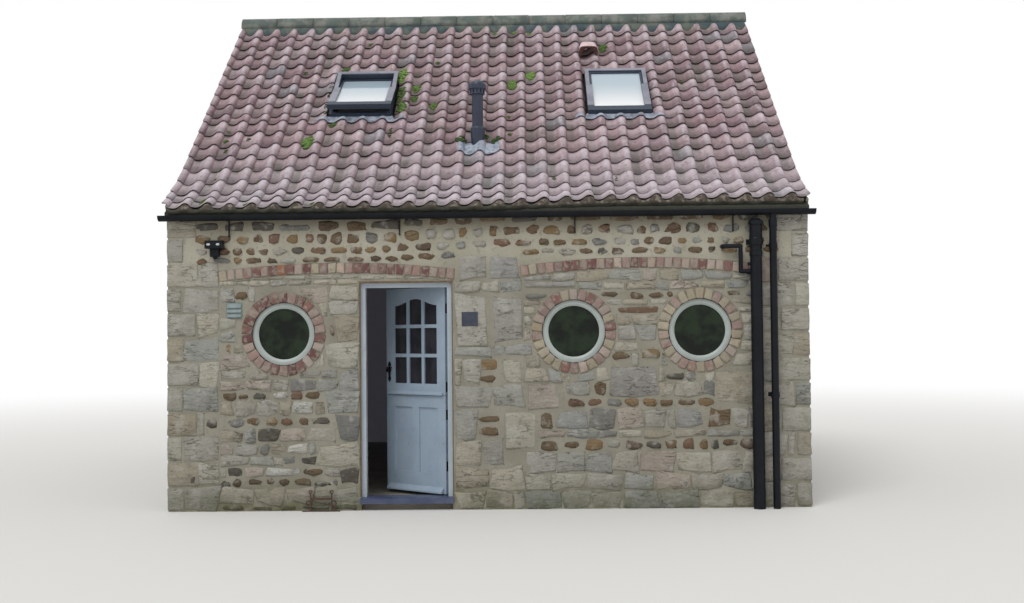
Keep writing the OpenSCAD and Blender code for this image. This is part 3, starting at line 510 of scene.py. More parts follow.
# %% Wall
class Wall:
    """One outer face of the cottage. A spot on it is across, up and out."""

    def __init__(self, name, corner, across, outward, seed):
        self.name = name
        self.corner, self.across, self.outward = Vector(corner), Vector(across), Vector(outward)
        self.random = np.random.default_rng(seed)
        self.circles, self.boxes, self.arches = [], [], []
        self.shapes, self.tints = [], []

    def clear_runs(self, low, high, bottom, top):
        """Stretches of a course that no window, doorway or set stone blocks."""
        blocks = [(u0, u1) for u0, u1, v0, v1 in self.boxes if v0 < top - 0.01 and v1 > bottom + 0.01]
        for u, v, radius in self.circles:
            edges = abs(bottom - v), abs(top - v)
            reach = max(edges) if bottom < v < top else min(edges)
            middle = abs((bottom + top) / 2 - v)
            if reach < radius and middle < radius:
                half = math.sqrt(radius**2 - middle**2) - 0.01
                blocks.append((u - half, u + half))
        runs, start = [], low
        for u0, u1 in sorted(blocks):
            if u0 > start:
                runs.append((start, min(u0, high)))
            start = max(start, u1)
        runs.append((start, high))
        return [(a, b) for a, b in runs if b - a > LEAST_WIDTH and a < high]

    def set_stone(self, u, v, width, height, kind, tint, holds_place=True):
        """One stone about its middle. A set stone keeps the later courses off its place."""
        random = self.random
        rounded, proud = random.uniform(*kind.rounded), random.uniform(*kind.proud)
        shape = stone_points(width, height, proud, rounded, kind.edge, kind.rough, random)
        self.shapes.append(shape + np.array([u, v, 0.0]))
        self.tints.append(varied(tint, random, 0.05))
        if holds_place:
            half = width / 2 + SET_GAP
            self.boxes.append((u - half, u + half, v - height / 2, v + height / 2))

    def lay_course(self, low, high, bottom, top, kind, drift=None):
        """Fills a course from low to high. drift lifts a stone by a height that depends on its place."""
        random = self.random
        for start, end in self.clear_runs(low, high, bottom, top):
            u = start + random.uniform(0.2, 0.8) * kind.gap
            while end - u > LEAST_WIDTH:
                width = random.uniform(*kind.widths)
                if end - u - width - kind.gap < LEAST_WIDTH * 1.2:
                    width = min(end - u - kind.gap * 0.5, kind.widths[1] * 1.25)
                height = (top - bottom) * random.uniform(*kind.fill)
                lift = random.uniform(-0.5, 0.5) * (top - bottom - height) + (drift(u) if drift else 0.0)
                tint = kind.tints[random.integers(len(kind.tints))]
                middle = (bottom + top) / 2 + lift
                self.set_stone(u + width / 2, middle, width, height, kind, tint, holds_place=False)
                u += width + kind.gap * random.uniform(0.6, 1.5)

    def trim(self):
        """Moves points out of the rings and arches, and leaves out stones that would be crushed."""
        kept = []
        for n, shape in enumerate(self.shapes):
            u, v = shape[:, 0].mean(), shape[:, 1].mean()
            inside = any(math.hypot(u - cu, v - cv) < radius for cu, cv, radius in self.circles)
            for cu, cv, radius in self.circles:
                away = shape[:, :2] - (cu, cv)
                distance = np.maximum(np.linalg.norm(away, axis=1), 1e-6)
                near = distance < radius
                shape[near, :2] = (cu, cv) + (away * (radius / distance)[:, None])[near]
            for soffit, back in self.arches:
                over = v > (soffit(u) + back(u)) / 2
                line = back(shape[:, 0]) if over else soffit(shape[:, 0])
                if not np.isnan(line).any():
                    shape[:, 1] = np.maximum(shape[:, 1], line) if over else np.minimum(shape[:, 1], line)
            width, height = np.ptp(shape[:, 0]), np.ptp(shape[:, 1])
            if not inside and min(width, height) > LEAST_LEFT_OVER:
                kept.append(n)
        self.shapes = [self.shapes[n] for n in kept]
        self.tints = [self.tints[n] for n in kept]

    def build(self):
        self.trim()
        axes = np.array([self.across, Vector((0, 0, 1)), self.outward])
        placed = [shape @ axes + np.array(self.corner) for shape in self.shapes]
        seeds = self.random.random(len(placed))
        stones = [(points, stone_faces, tint, seed) for points, tint, seed in zip(placed, self.tints, seeds)]
        add_shapes(self.name, stones, rubble_stone)


print("walls can be laid")

# %% [markdown]
# ## The front wall
# Places are measured along the front from its middle, and up from the ground. The rings and the
# two arches stand in the way, as do the doorway, the sign and the vent cover. The stones that
# catch the eye in the photograph are set first, and the courses fill in round them.

# %% Openings of the front wall
RING_PLACES = [(-1.93, 1.67), (0.82, 1.67), (2.01, 1.67)]
RING_INNER, RING_OUTER, JOINT = 0.295, 0.400, 0.012
ARCHES = [(-1.425, 2.240), (1.440, 2.262)]
ARCH_SPAN, ARCH_RISE, ARCH_DEPTH = 2.230, 0.070, 0.103
ARCH_RADIUS = ((ARCH_SPAN / 2) ** 2 + ARCH_RISE**2) / (2 * ARCH_RISE)


def arch_line(middle, crown, depth):
    """Height of an arch's underside, or of a line that far above it. Beyond its ends it is no number."""

    def height(u):
        inside = np.abs(u - middle) <= ARCH_SPAN / 2
        drop = np.sqrt(np.maximum((ARCH_RADIUS + depth) ** 2 - (u - middle) ** 2, 0)) - (ARCH_RADIUS + depth)
        return np.where(inside, crown + depth + drop, np.nan)

    return height


front = Wall("front_stones", (0, FRONT, 0), (1, 0, 0), (0, -1, 0), seed=11)
front.circles = [(x, z, RING_OUTER + JOINT) for x, z in RING_PLACES]
front.arches = [(arch_line(x, z, -JOINT), arch_line(x, z, ARCH_DEPTH + JOINT)) for x, z in ARCHES]
front.boxes = [(DOOR_LEFT - JOINT, DOOR_RIGHT + JOINT, 0.0, DOOR_HEAD + 0.01)]
for fitting in ("louvre_vent", "house_sign"):
    low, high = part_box(fitting)
    room = JOINT / 2
    front.boxes.append((low.x - room, high.x + room, low.z - room, high.z + room))
print("arch radius", round(ARCH_RADIUS, 2))

# %% Stones that stand out, as middle X and Z, width, height, kind and tint
MOTTLED, WHITE = paint(144, 143, 139), paint(182, 180, 172)
EYE_STONES = [
    (-0.15, 1.300, 0.170, 0.225, BLOCK, PALE), (0.00, 1.360, 0.200, 0.113, COBBLE, OCHRE),
    (0.00, 1.230, 0.160, 0.060, COBBLE, BROWN), (0.24, 1.300, 0.170, 0.190, BLOCK, CREAM),
    (-0.15, 1.785, 0.300, 0.500, BLOCK, PALE), (0.195, 1.790, 0.280, 0.420, BLOCK, MOTTLED),
    (0.01, 0.845, 0.200, 0.056, COBBLE, BROWN), (0.01, 0.735, 0.185, 0.090, COBBLE, BROWN),
    (0.31, 0.740, 0.295, 0.330, BLOCK, CREAM), (0.535, 1.060, 0.306, 0.238, BLOCK, PINKISH),
    (-0.130, 2.278, 0.265, 0.210, BLOCK, PALE), (0.165, 2.280, 0.275, 0.215, BLOCK, MOTTLED),
    (0.295, 1.500, 0.250, 0.100, BLOCK, MOTTLED), (0.85, 1.125, 0.235, 0.115, SQUARED, GREY),
    (1.062, 1.122, 0.115, 0.125, COBBLE, BROWN), (1.378, 1.197, 0.455, 0.283, BLOCK, MOTTLED),
    (1.775, 1.236, 0.181, 0.068, COBBLE, DARK), (2.335, 1.123, 0.370, 0.290, BLOCK, WARM),
    (0.55, 0.828, 0.135, 0.160, COBBLE, BROWN), (0.80, 0.835, 0.275, 0.145, BLOCK, MOTTLED),
    (2.18, 0.855, 0.205, 0.170, SQUARED, BROWN), (1.90, 0.850, 0.240, 0.165, SQUARED, MOTTLED),
    (1.26, 1.435, 0.170, 0.075, COBBLE, BROWN), (1.535, 1.450, 0.190, 0.100, COBBLE, OCHRE),
    (1.42, 2.000, 0.130, 0.060, COBBLE, BROWN), (1.43, 1.865, 0.380, 0.055, SLIP, RUSSET),
    (0.575, 0.590, 0.160, 0.095, COBBLE, BROWN), (0.790, 0.600, 0.140, 0.060, COBBLE, BROWN),
    (1.00, 0.600, 0.175, 0.100, COBBLE, OCHRE), (1.56, 0.590, 0.140, 0.065, COBBLE, DARK),
    (2.28, 0.610, 0.150, 0.055, COBBLE, BROWN), (0.84, 0.990, 0.150, 0.072, COBBLE, RUSSET),
    (1.19, 0.995, 0.148, 0.076, COBBLE, SLATY), (1.36, 0.992, 0.140, 0.070, COBBLE, OCHRE),
    (1.535, 0.992, 0.135, 0.078, COBBLE, OCHRE), (2.06, 0.992, 0.150, 0.078, COBBLE, OCHRE),
    (0.60, 2.115, 0.480, 0.052, SLIP, MOTTLED), (-1.35, 2.055, 0.270, 0.130, BLOCK, CREAM),
    (-1.355, 1.915, 0.280, 0.125, BLOCK, PALE), (-1.325, 1.720, 0.225, 0.245, BLOCK, WARM),
    (-1.465, 1.700, 0.040, 0.100, COBBLE, RUSSET), (-1.375, 1.465, 0.320, 0.230, BLOCK, CREAM),
    (-1.31, 1.220, 0.190, 0.190, BLOCK, MOTTLED), (-1.37, 1.020, 0.310, 0.215, BLOCK, GREY),
    (-1.32, 0.780, 0.210, 0.235, BLOCK, SLATY), (-1.42, 0.525, 0.400, 0.220, BLOCK, CREAM),
    (-1.305, 0.320, 0.165, 0.150, BLOCK, DARK), (-1.35, 0.140, 0.260, 0.150, BLOCK, PALE),
    (-2.08, 0.715, 0.205, 0.120, SQUARED, DARK), (-2.115, 0.582, 0.105, 0.100, COBBLE, SLATY),
    (-1.695, 0.475, 0.135, 0.068, SQUARED, DARK), (-1.875, 0.478, 0.105, 0.070, SQUARED, SLATY),
    (-2.395, 0.368, 0.140, 0.075, SQUARED, DARK), (-1.935, 0.368, 0.330, 0.075, SQUARED, WHITE),
    (-1.655, 0.368, 0.190, 0.060, COBBLE, BROWN), (-2.485, 0.262, 0.090, 0.055, COBBLE, DARK),
    (-2.80, 0.290, 0.070, 0.070, COBBLE, DARK), (-1.565, 0.255, 0.150, 0.050, COBBLE, DARK),
    (-1.58, 0.843, 0.175, 0.060, COBBLE, DARK), (-2.38, 0.830, 0.160, 0.075, COBBLE, SLATY),
    (-2.62, 0.835, 0.110, 0.090, COBBLE, DARK), (-1.75, 0.975, 0.200, 0.112, SQUARED, WHITE),
    (-1.96, 1.092, 0.145, 0.065, COBBLE, WHITE), (-2.16, 1.085, 0.125, 0.060, COBBLE, DARK),
    (-2.31, 1.083, 0.090, 0.040, COBBLE, BROWN), (-1.655, 1.090, 0.135, 0.065, COBBLE, BROWN),
    (-2.42, 1.185, 0.240, 0.080, SQUARED, PINKISH), (-1.80, 0.585, 0.190, 0.085, SQUARED, WHITE),
    (-2.33, 2.040, 0.105, 0.080, COBBLE, BROWN), (-2.285, 1.715, 0.150, 0.120, SQUARED, CREAM),
    (-2.06, 2.035, 0.235, 0.075, SQUARED, WHITE), (-2.45, 1.535, 0.050, 0.075, COBBLE, OCHRE),
]
for x, z, width, height, kind, tint in EYE_STONES:
    front.set_stone(x, z, width, height, kind, tint)
print(len(EYE_STONES), "stones set by eye")

# %% Courses of the front wall, as bottom, top and kind
QUOIN_RISE, QUOIN_WIDTHS, QUOIN_DEPTHS = 0.235, (0.14, 0.28), (0.45, 0.30)
PIER_LEFT, PIER_RIGHT, CENTRE = (-2.73, -2.54), (2.56, 2.75), (-0.315, 0.345)
LEFT_BAY = [
    (0.01, 0.055, FLAT), (0.07, 0.22, BLOCK), (0.235, 0.305, COBBLE), (0.325, 0.41, SQUARED),
    (0.43, 0.515, SQUARED), (0.53, 0.635, SQUARED), (0.65, 0.77, SQUARED), (0.80, 0.885, COBBLE),
    (0.91, 1.03, SQUARED), (1.045, 1.13, COBBLE), (1.14, 1.235, SQUARED), (1.25, 1.325, SQUARED),
    (1.345, 1.475, SQUARED), (1.495, 1.575, SQUARED), (1.595, 1.70, SQUARED), (1.715, 1.82, SQUARED),
    (1.84, 1.96, SQUARED), (1.975, 2.115, SQUARED), (2.135, 2.18, SLIP), (2.19, 2.235, SLIP),
]
RIGHT_BAY = [
    (0.01, 0.16, BLOCK), (0.18, 0.33, BLOCK), (0.345, 0.525, BLOCK), (0.545, 0.65, COBBLE),
    (0.67, 0.735, SQUARED), (0.755, 0.93, SQUARED), (0.95, 1.035, COBBLE), (1.055, 1.18, SQUARED),
    (1.195, 1.325, SQUARED), (1.34, 1.46, SQUARED), (1.475, 1.565, SQUARED), (1.585, 1.715, SQUARED),
    (1.73, 1.82, SQUARED), (1.835, 1.90, SLIP), (1.915, 1.965, SQUARED), (1.975, 2.04, COBBLE),
    (2.06, 2.135, SQUARED), (2.15, 2.255, SQUARED),
]
CENTRE_PIER = [
    (0.01, 0.17, BLOCK), (0.19, 0.40, BLOCK), (0.42, 0.64, BLOCK), (0.66, 0.93, BLOCK),
    (0.965, 1.16, BLOCK), (1.18, 1.42, BLOCK), (1.44, 1.53, BLOCK), (1.55, 2.03, BLOCK),
    (2.05, 2.155, SQUARED), (2.17, 2.385, BLOCK),
]
PIER = [(QUOIN_RISE * n + 0.012, QUOIN_RISE * n + 0.228, BLOCK) for n in range(10)]
COBBLE_BAND = [(2.335, 2.400, COBBLE), (2.420, 2.495, COBBLE), (2.520, 2.625, COBBLE), (2.645, 2.735, FLAT)]
BAND_RISE, BAND_INSET = 0.060, 0.25


def band_drift(u):
    """The cobble rows rise from the left to the right, as the arches do."""
    return BAND_RISE * float(np.clip((u + 1.3) / 1.5, 0, 1))


bays = [
    (LEFT_BAY, (PIER_LEFT[1], DOOR_LEFT - JOINT)),
    (RIGHT_BAY, (CENTRE[1], PIER_RIGHT[0])),
    (CENTRE_PIER, CENTRE),
]
for courses, span in bays:
    for bottom, top, kind in courses:
        front.lay_course(*span, bottom, top, kind)
for span in (PIER_LEFT, PIER_RIGHT):
    for n, (bottom, top, kind) in enumerate(PIER):
        outer = QUOIN_WIDTHS[n % 2]
        start, end = (LEFT + outer, span[1]) if span is PIER_LEFT else (span[0], RIGHT - outer)
        front.lay_course(start, end, bottom, top, kind)
front.lay_course(DOOR_LEFT, DOOR_RIGHT, 2.180, 2.222, SLIP)
for bottom, top, kind in COBBLE_BAND:
    front.lay_course(LEFT + BAND_INSET, RIGHT - BAND_INSET, bottom, top, kind, band_drift)
front.build()

# %% [markdown]
# ## Corner stones
# The corners are squared blocks that run long and short by turns, so that each one ties the two
# walls together. A block is a cube cut three times along every edge: the outer cuts are pushed close
# to the edges, where they hold the worn arris, and every point is then moved a little.

# %% One corner stone
CUTS, EDGE_CUT, INNER_CUT = 3, 0.9, 0.4


def block_pattern():
    bm = bmesh.new()
    bmesh.ops.create_cube(bm, size=2.0)
    bmesh.ops.subdivide_edges(bm, edges=bm.edges[:], cuts=CUTS, use_grid_fill=True)
    return pattern_of(bm)


block_grid, block_faces = block_pattern()
block_size, block_side = np.abs(block_grid), np.sign(block_grid)
outer_count = (block_size > EDGE_CUT).sum(axis=1)[:, None]


def block_points(low, high, edge, rough, random):
    """Points of a squared block that fills the space between two corners, with worn edges."""
    low, high = np.array(low), np.array(high)
    half = (high - low) / 2
    shares = np.where(block_size > EDGE_CUT, 1.0, np.where(block_size > INNER_CUT, 1 - edge / half, 0.0))
    points = block_side * shares * half
    points -= block_side * (block_size > EDGE_CUT) * (outer_count > 1) * edge * 0.35
    points += np.clip(random.normal(0, rough, points.shape), -2 * rough, 2 * rough)
    return points + (low + high) / 2


print("a corner stone has", len(block_faces), "faces")

# %% Corner stones
QUOIN_COURSES, QUOIN_PROUD, QUOIN_ARRIS, QUOIN_ROUGH = 12, 0.009, 0.014, 0.003
QUOIN_TINTS = [PALE, CREAM, GREY, WARM, PALE]
quoin_random = np.random.default_rng(21)
quoins = []
for side_x in (-1, 1):
    for side_y in (-1, 1):
        for n in range(QUOIN_COURSES):
            width = QUOIN_WIDTHS[n % 2] + quoin_random.uniform(-0.02, 0.02)
            depth = QUOIN_DEPTHS[n % 2]
            xs = sorted((side_x * (RIGHT - width), side_x * (RIGHT + QUOIN_PROUD)))
            ys = sorted((side_y * (BACK - depth), side_y * (BACK + QUOIN_PROUD)))
            bottom = n * QUOIN_RISE + quoin_random.uniform(0.006, 0.014)
            top = min((n + 1) * QUOIN_RISE - quoin_random.uniform(0.004, 0.012), WALL_HEAD - 0.005)
            low, high = (xs[0], ys[0], bottom), (xs[1], ys[1], top)
            points = block_points(low, high, QUOIN_ARRIS, QUOIN_ROUGH, quoin_random)
            tint = varied(QUOIN_TINTS[quoin_random.integers(len(QUOIN_TINTS))], quoin_random, 0.05)
            quoins.append((points, block_faces, tint, quoin_random.random()))
add_shapes("corner_stones", quoins, rubble_stone)

# %% [markdown]
# ## Section of the roof
# The roof is bell-cast: near the eaves the slope grows flatter, to throw the rain clear of the wall.
# All that lies on it is placed by how far it is up the slope from the eaves. The line that
# carries the tiles has four corners, and the troughs of the frame's slab lie just above it.

# %% Section of the roof
SECTION = np.array([(-0.100, 2.845), (0.301, 3.070), (0.492, 3.199), (3.100, 5.403)])
SLAB_DROP = 0.150
SECTION_RUN = np.append(0.0, np.cumsum(np.linalg.norm(np.diff(SECTION, axis=0), axis=1)))


def on_section(s):
    """Y and Z of the front slope at s metres up from the eaves."""
    y, z = (np.interp(s, SECTION_RUN, SECTION[:, side]) for side in (0, 1))
    return np.array([FRONT + y, z])


def on_slope(points, low, high):
    """Turns X, distance from low and height into a place on the front slope between low and high."""
    foot, head = on_section(low), on_section(high)
    along = (head - foot) / np.linalg.norm(head - foot)
    out = np.array([-along[1], along[0]])
    return np.column_stack([points[:, 0], foot + points[:, 1:2] * along + points[:, 2:3] * out])


def under_roof(z):
    """How far from the middle of a gable the wall still reaches at a height."""
    return -FRONT - np.interp(z + SLAB_DROP, SECTION[:, 1], SECTION[:, 0])


print("the slope is", round(SECTION_RUN[-1], 2), "m long")

# %% [markdown]
# ## The gables and the rear wall
# The photograph shows only the front. The other walls carry on its courses at random: squared
# rubble with a cobble row between, under the same corner stones. The gable courses end at the roof.

# %% Courses of the other walls
PLAIN_COURSES = [(0.012, 0.115, SQUARED), (0.128, 0.228, BLOCK)]
GABLE_TOP, REAR_TOP = 5.10, WALL_HEAD - 0.1
GABLE_CORNERS, REAR_CORNERS = (0.455, 0.305), (0.165, 0.305)
COBBLE_SHARE, LEAST_HALF = 0.22, 0.12


def lay_plain_wall(wall, wall_top, half_width, corners):
    """Two courses beside each corner stone. half_width gives how far the wall reaches at a height."""
    n, foot = 0, 0.0
    while foot < wall_top:
        beside = 0.0 if foot > WALL_HEAD - 0.2 else corners[n % 2]
        for bottom, top, kind in PLAIN_COURSES:
            if wall.random.random() < COBBLE_SHARE:
                kind = COBBLE
            half = half_width(foot + top) - beside
            if half > LEAST_HALF:
                wall.lay_course(-half, half, foot + bottom, foot + top, kind)
        n, foot = n + 1, foot + QUOIN_RISE


def half_gable(z):
    return BACK if z < WALL_HEAD else under_roof(z)


left_gable = Wall("left_gable_stones", (LEFT, 0, 0), (0, -1, 0), (-1, 0, 0), seed=31)
right_gable = Wall("right_gable_stones", (RIGHT, 0, 0), (0, 1, 0), (1, 0, 0), seed=32)
rear = Wall("rear_stones", (0, BACK, 0), (-1, 0, 0), (0, 1, 0), seed=33)
for wall in (left_gable, right_gable):
    lay_plain_wall(wall, GABLE_TOP, half_gable, GABLE_CORNERS)
    wall.build()
lay_plain_wall(rear, REAR_TOP, lambda z: RIGHT, REAR_CORNERS)
rear.build()

# %% [markdown]
# ## Bricks
# The arches and rings are soft bricks on edge. A brick is the same 31-faced pattern as a stone,
# squarer and flatter. Each stands at its own angle about the middle of its ring or arch, so the
# joints between them are wedges. The solid of the frame shows through them as the mortar, which is
# browner and more worn here than on the wall.


# %% Finish of the bricks
def brick_finish():
    finish = Finish("soft_brick", Roughness=0.92, Specular_IOR_Level=0.2)
    seed = finish.read("seed") * 30.0
    grain = finish.noise(95.0, 6.0, seed)
    blotch = finish.noise(21.0, 5.0, seed)
    colour = finish.scaled(finish.read("tint", "Color"), 0.62 + 0.50 * grain)
    colour = finish.mix(blotch.ramp(0.47, 0.60) * 0.66, colour, paint(152, 145, 134))
    colour = finish.mix(finish.noise(27.0, 5.0, seed).ramp(0.58, 0.68) * 0.45, colour, paint(112, 74, 66))
    finish.coat(colour=colour)
    finish.bump(grain * 0.6 + blotch * 0.6, 0.010)
    return finish


soft_brick = brick_finish()
RED, ROSE, BUFF = paint(130, 98, 92), paint(154, 131, 124), paint(172, 156, 146)
PLUM, SAND, EMBER = paint(114, 82, 80), paint(166, 156, 136), paint(160, 112, 88)
print("brick finish ready")

# %% One brick
RING_BRICKS, ARCH_BRICKS = 26, 28
RING_WIDTH, ARCH_WIDTH, BRICK_PROUD = 0.072, 0.070, 0.007
brick_random = np.random.default_rng(41)


def brick_at(middle, radius, angle, width, height, tints):
    """One brick on edge, radius from the middle of its curve and turned by angle from the upright."""
    proud = BRICK_PROUD + brick_random.uniform(0, 0.004)
    face = stone_points(width, height, proud, 0.06, 0.009, 0.0012, brick_random, uneven=0.04)
    face[:, 2] += (ring == 1) * proud * 0.5
    spin = angle + brick_random.normal(0, 0.012)
    across, up = np.array([math.cos(spin), -math.sin(spin)]), np.array([math.sin(spin), math.cos(spin)])
    centre = np.array(middle) + radius * np.array([math.sin(angle), math.cos(angle)])
    flat = centre + face[:, :1] * across + face[:, 1:2] * up
    points = np.column_stack([flat[:, 0], FRONT - face[:, 2], flat[:, 1]])
    tint = varied(tints[brick_random.integers(len(tints))], brick_random, 0.08)
    return points, stone_faces, tint, brick_random.random()


print("a ring brick is", RING_WIDTH, "m wide and an arch brick", ARCH_WIDTH)

# %% Rings of bricks
RING_TINTS = {
    "left": [ROSE, ROSE, ROSE, RED, BUFF, PLUM],
    "middle": [SAND, ROSE, SAND, BUFF, SAND, ROSE, RED],
    "right": [SAND, BUFF, SAND, SAND, ROSE],
}
ring_radius, ring_height = (RING_INNER + RING_OUTER) / 2, RING_OUTER - RING_INNER - 0.006
ring_angles = [math.tau * n / RING_BRICKS for n in range(RING_BRICKS)]
for place, (side, tints) in zip(RING_PLACES, RING_TINTS.items()):
    bricks = [brick_at(place, ring_radius, angle, RING_WIDTH, ring_height, tints) for angle in ring_angles]
    add_shapes(f"ring_bricks_{side}", bricks, soft_brick)

# %% Arches of bricks
ARCH_TINTS = [ROSE] * 6 + [BUFF] * 4 + [RED] * 3 + [SAND] * 2 + [PLUM, PLUM, EMBER]
arch_half_angle = math.asin(ARCH_SPAN / 2 / ARCH_RADIUS)
arch_step = 2 * arch_half_angle / ARCH_BRICKS
arch_radius, arch_height = ARCH_RADIUS + ARCH_DEPTH / 2, ARCH_DEPTH - 0.008
arch_angles = [arch_step * (n + 0.5) - arch_half_angle for n in range(ARCH_BRICKS)]
for (x, crown), side in zip(ARCHES, ("left", "right")):
    middle, size = (x, crown - ARCH_RADIUS), (ARCH_WIDTH, arch_height)
    bricks = [brick_at(middle, arch_radius, angle, *size, ARCH_TINTS) for angle in arch_angles]
    add_shapes(f"arch_bricks_{side}", bricks, soft_brick)


# %% Joints between the bricks
def joint_finish():
    finish = Finish("brick_joints", Roughness=0.95, Specular_IOR_Level=0.2)
    patches = finish.noise(11.0, 5.0).ramp(0.35, 0.65)
    finish.coat(colour=finish.mix(patches, paint(118, 113, 99), paint(140, 135, 120)))
    finish.bump(finish.noise(90.0, 6.0), 0.006)
    return finish


brick_joints = joint_finish()
dress(brick_joints, "brick_arch_left", "brick_arch_right")
dress(brick_joints, "brick_ring_left", "brick_ring_middle", "brick_ring_right")
print("joints between the bricks are dressed")

# %% [markdown]
# ## Pantiles
# A pantile is a shallow trough with a roll along one edge, and the roll hooks over the edge of the
# next tile. One tile is a flat grid whose columns of points are lifted to that section, given a
# thickness with solidify. It has 46 faces, because about a thousand of them lie on the roof.
# The lower edge of the tail is cut back, so that the tail lies in shade and shows as a thin dark
# line, and the finish paints the underside dark as well, as painted shade. Each point also carries a
# shade: 0 on the underside, and 0.5 in the trough to 1 on the roll above it. The finish reads it to
# paint light and shade: a painted highlight on the rolls, painted shade in the troughs and on the
# underside.
# A verge or a rooflight cuts some tiles. `bisect_plane` takes off one side, and the gap is filled.

# %% Pattern of a pantile
TILE_STATIONS = [-0.192, -0.174, -0.158, -0.128, -0.100, -0.075, -0.050, -0.026, -0.004, 0.018, 0.034, 0.046]
TILE_HEIGHTS = [0.030, 0.018, 0.009, 0.0035, 0.006, 0.017, 0.036, 0.054, 0.060, 0.0555, 0.040, 0.018]
TILE_THICK, TAIL_UNDERCUT = 0.013, 0.04


def tile_pattern():
    bm = bmesh.new()
    bmesh.ops.create_grid(bm, x_segments=len(TILE_STATIONS) - 1, y_segments=1, size=1.0)
    for vert in bm.verts:
        station = round((vert.co.x + 1) / 2 * (len(TILE_STATIONS) - 1))
        vert.co = (TILE_STATIONS[station], (vert.co.y + 1) / 2, TILE_HEIGHTS[station])
    bmesh.ops.solidify(bm, geom=bm.faces[:], thickness=TILE_THICK)
    bmesh.ops.recalc_face_normals(bm, faces=bm.faces[:])
    points, faces = pattern_of(bm)
    top = np.interp(points[:, 0], TILE_STATIONS, TILE_HEIGHTS)
    lower = points[:, 2] < top - 0.004
    points[:, 1] += lower * (1 - points[:, 1]) * TAIL_UNDERCUT
    return np.column_stack([points, np.where(lower, 0.0, 0.5 + 0.5 * top / max(TILE_HEIGHTS))]), faces


tile_grid, tile_faces = tile_pattern()
print("a pantile has", len(tile_faces), "faces")


# %% Cutting a tile
def cut_shape(points, faces, cuts):
    """What is left of a closed shape once each cut, a place and a direction, has taken its side off."""
    bm = bmesh.new()
    shade = bm.verts.layers.float.new("shade")
    verts = [bm.verts.new(point[:3]) for point in points]
    for vert, point in zip(verts, points):
        vert[shade] = point[3]
    for face in faces:
        bm.faces.new([verts[corner] for corner in face])
    for place, away in cuts:
        everything = bm.verts[:] + bm.edges[:] + bm.faces[:]
        bmesh.ops.bisect_plane(bm, geom=everything, plane_co=place, plane_no=away, clear_outer=True)
        rim = [edge for edge in bm.edges if edge.is_boundary]
        if rim:
            bmesh.ops.holes_fill(bm, edges=rim)
    bm.verts.index_update()
    shades = [vert[shade] for vert in bm.verts]
    left_over, left_faces = pattern_of(bm)
    return np.column_stack([left_over.reshape(-1, 3), shades]), left_faces


def beside_hole(points, faces, hole):
    """The parts of a tile below, above, left and right of a hole given by X and distance."""
    x0, x1, y0, y1 = hole
    low, high = points.min(axis=0), points.max(axis=0)
    if low[0] > x1 or high[0] < x0 or low[1] > y1 or high[1] < y0:
        return [(points, faces)]
    below, above = ((0, y0, 0), (0, 1, 0)), ((0, y1, 0), (0, -1, 0))
    level = [((0, y0, 0), (0, -1, 0)), ((0, y1, 0), (0, 1, 0))]
    sides = [[below], [above], level + [((x0, 0, 0), (1, 0, 0))], level + [((x1, 0, 0), (-1, 0, 0))]]
    parts = [cut_shape(points, faces, cuts) for cuts in sides]
    return [(p, f) for p, f in parts if len(f) and np.ptp(p[:, 0]) > 0.008 and np.ptp(p[:, 1]) > 0.012]


print("tiles can be cut")

# %% [markdown]
# ## Laying the pantiles
# The tails were measured in the photograph near both ends of the roof: the courses are not quite
# parallel, and each tile takes the place that its own X gives. The lowest course has slid and
# lifted a little towards the right. Its tiles are paler, as the weather has scoured them.

# %% Laying the pantiles
COURSE_TAILS = [
    (0.000, 0.000), (0.148, 0.234), (0.322, 0.465), (0.578, 0.708), (0.825, 0.932), (1.058, 1.153),
    (1.284, 1.375), (1.530, 1.587), (1.757, 1.793), (1.903, 1.985), (2.113, 2.165), (2.335, 2.378),
    (2.566, 2.566), (2.791, 2.780), (3.027, 3.010), (3.266, 3.240), (3.503, 3.520), (3.745, 3.752),
    (3.915, 3.915),
]
MEASURED_X = 2.4
TILE_LAP, TAIL_LIFT, EAVE_SLIP, EAVE_LIFT = 0.090, 0.019, 0.050, 0.022
FIRST_CREST, COLUMN_WIDTH, TILE_COLUMNS = -2.824, 0.2112, range(-1, 29)
VERGE = 3.045
LIGHT_MIDDLES, LIGHT_HALF = (-1.385, 1.390), 0.360
LIGHT_FOOT, LIGHT_HEAD, FOOT_GAP, HEAD_GAP = 1.849, 2.779, 0.034, 0.020
ROSY, DUSKY, SHELL = paint(168, 144, 149), paint(156, 131, 137), paint(180, 160, 165)
UMBER, SMOKY, SCOURED = paint(147, 125, 129), paint(143, 136, 141), paint(194, 186, 192)
TILE_TINTS = [ROSY] * 6 + [DUSKY] * 4 + [SHELL] * 4 + [UMBER] * 2 + [SMOKY]


def tail_of(course, x):
    """How far up the slope the tails of a course lie at X."""
    left, right = COURSE_TAILS[course]
    return left + (right - left) * (x + MEASURED_X) / (2 * MEASURED_X)


def eave_droop(x):
    """Runs from 0 left of the middle to 1 at the right, where the lowest course has slipped."""
    return float(np.clip(x / 1.2, 0, 1))


def tile_tint(s, random):
    """Paler and scoured towards the eaves, and slightly darker towards the ridge."""
    tint = np.array(varied(TILE_TINTS[random.integers(len(TILE_TINTS))], random, 0.045))
    pale = 0.7 * np.clip(1 - s / 1.3, 0, 1)
    return (tint * (1 - pale) + np.array(SCOURED) * pale) * (1.04 - 0.03 * s)


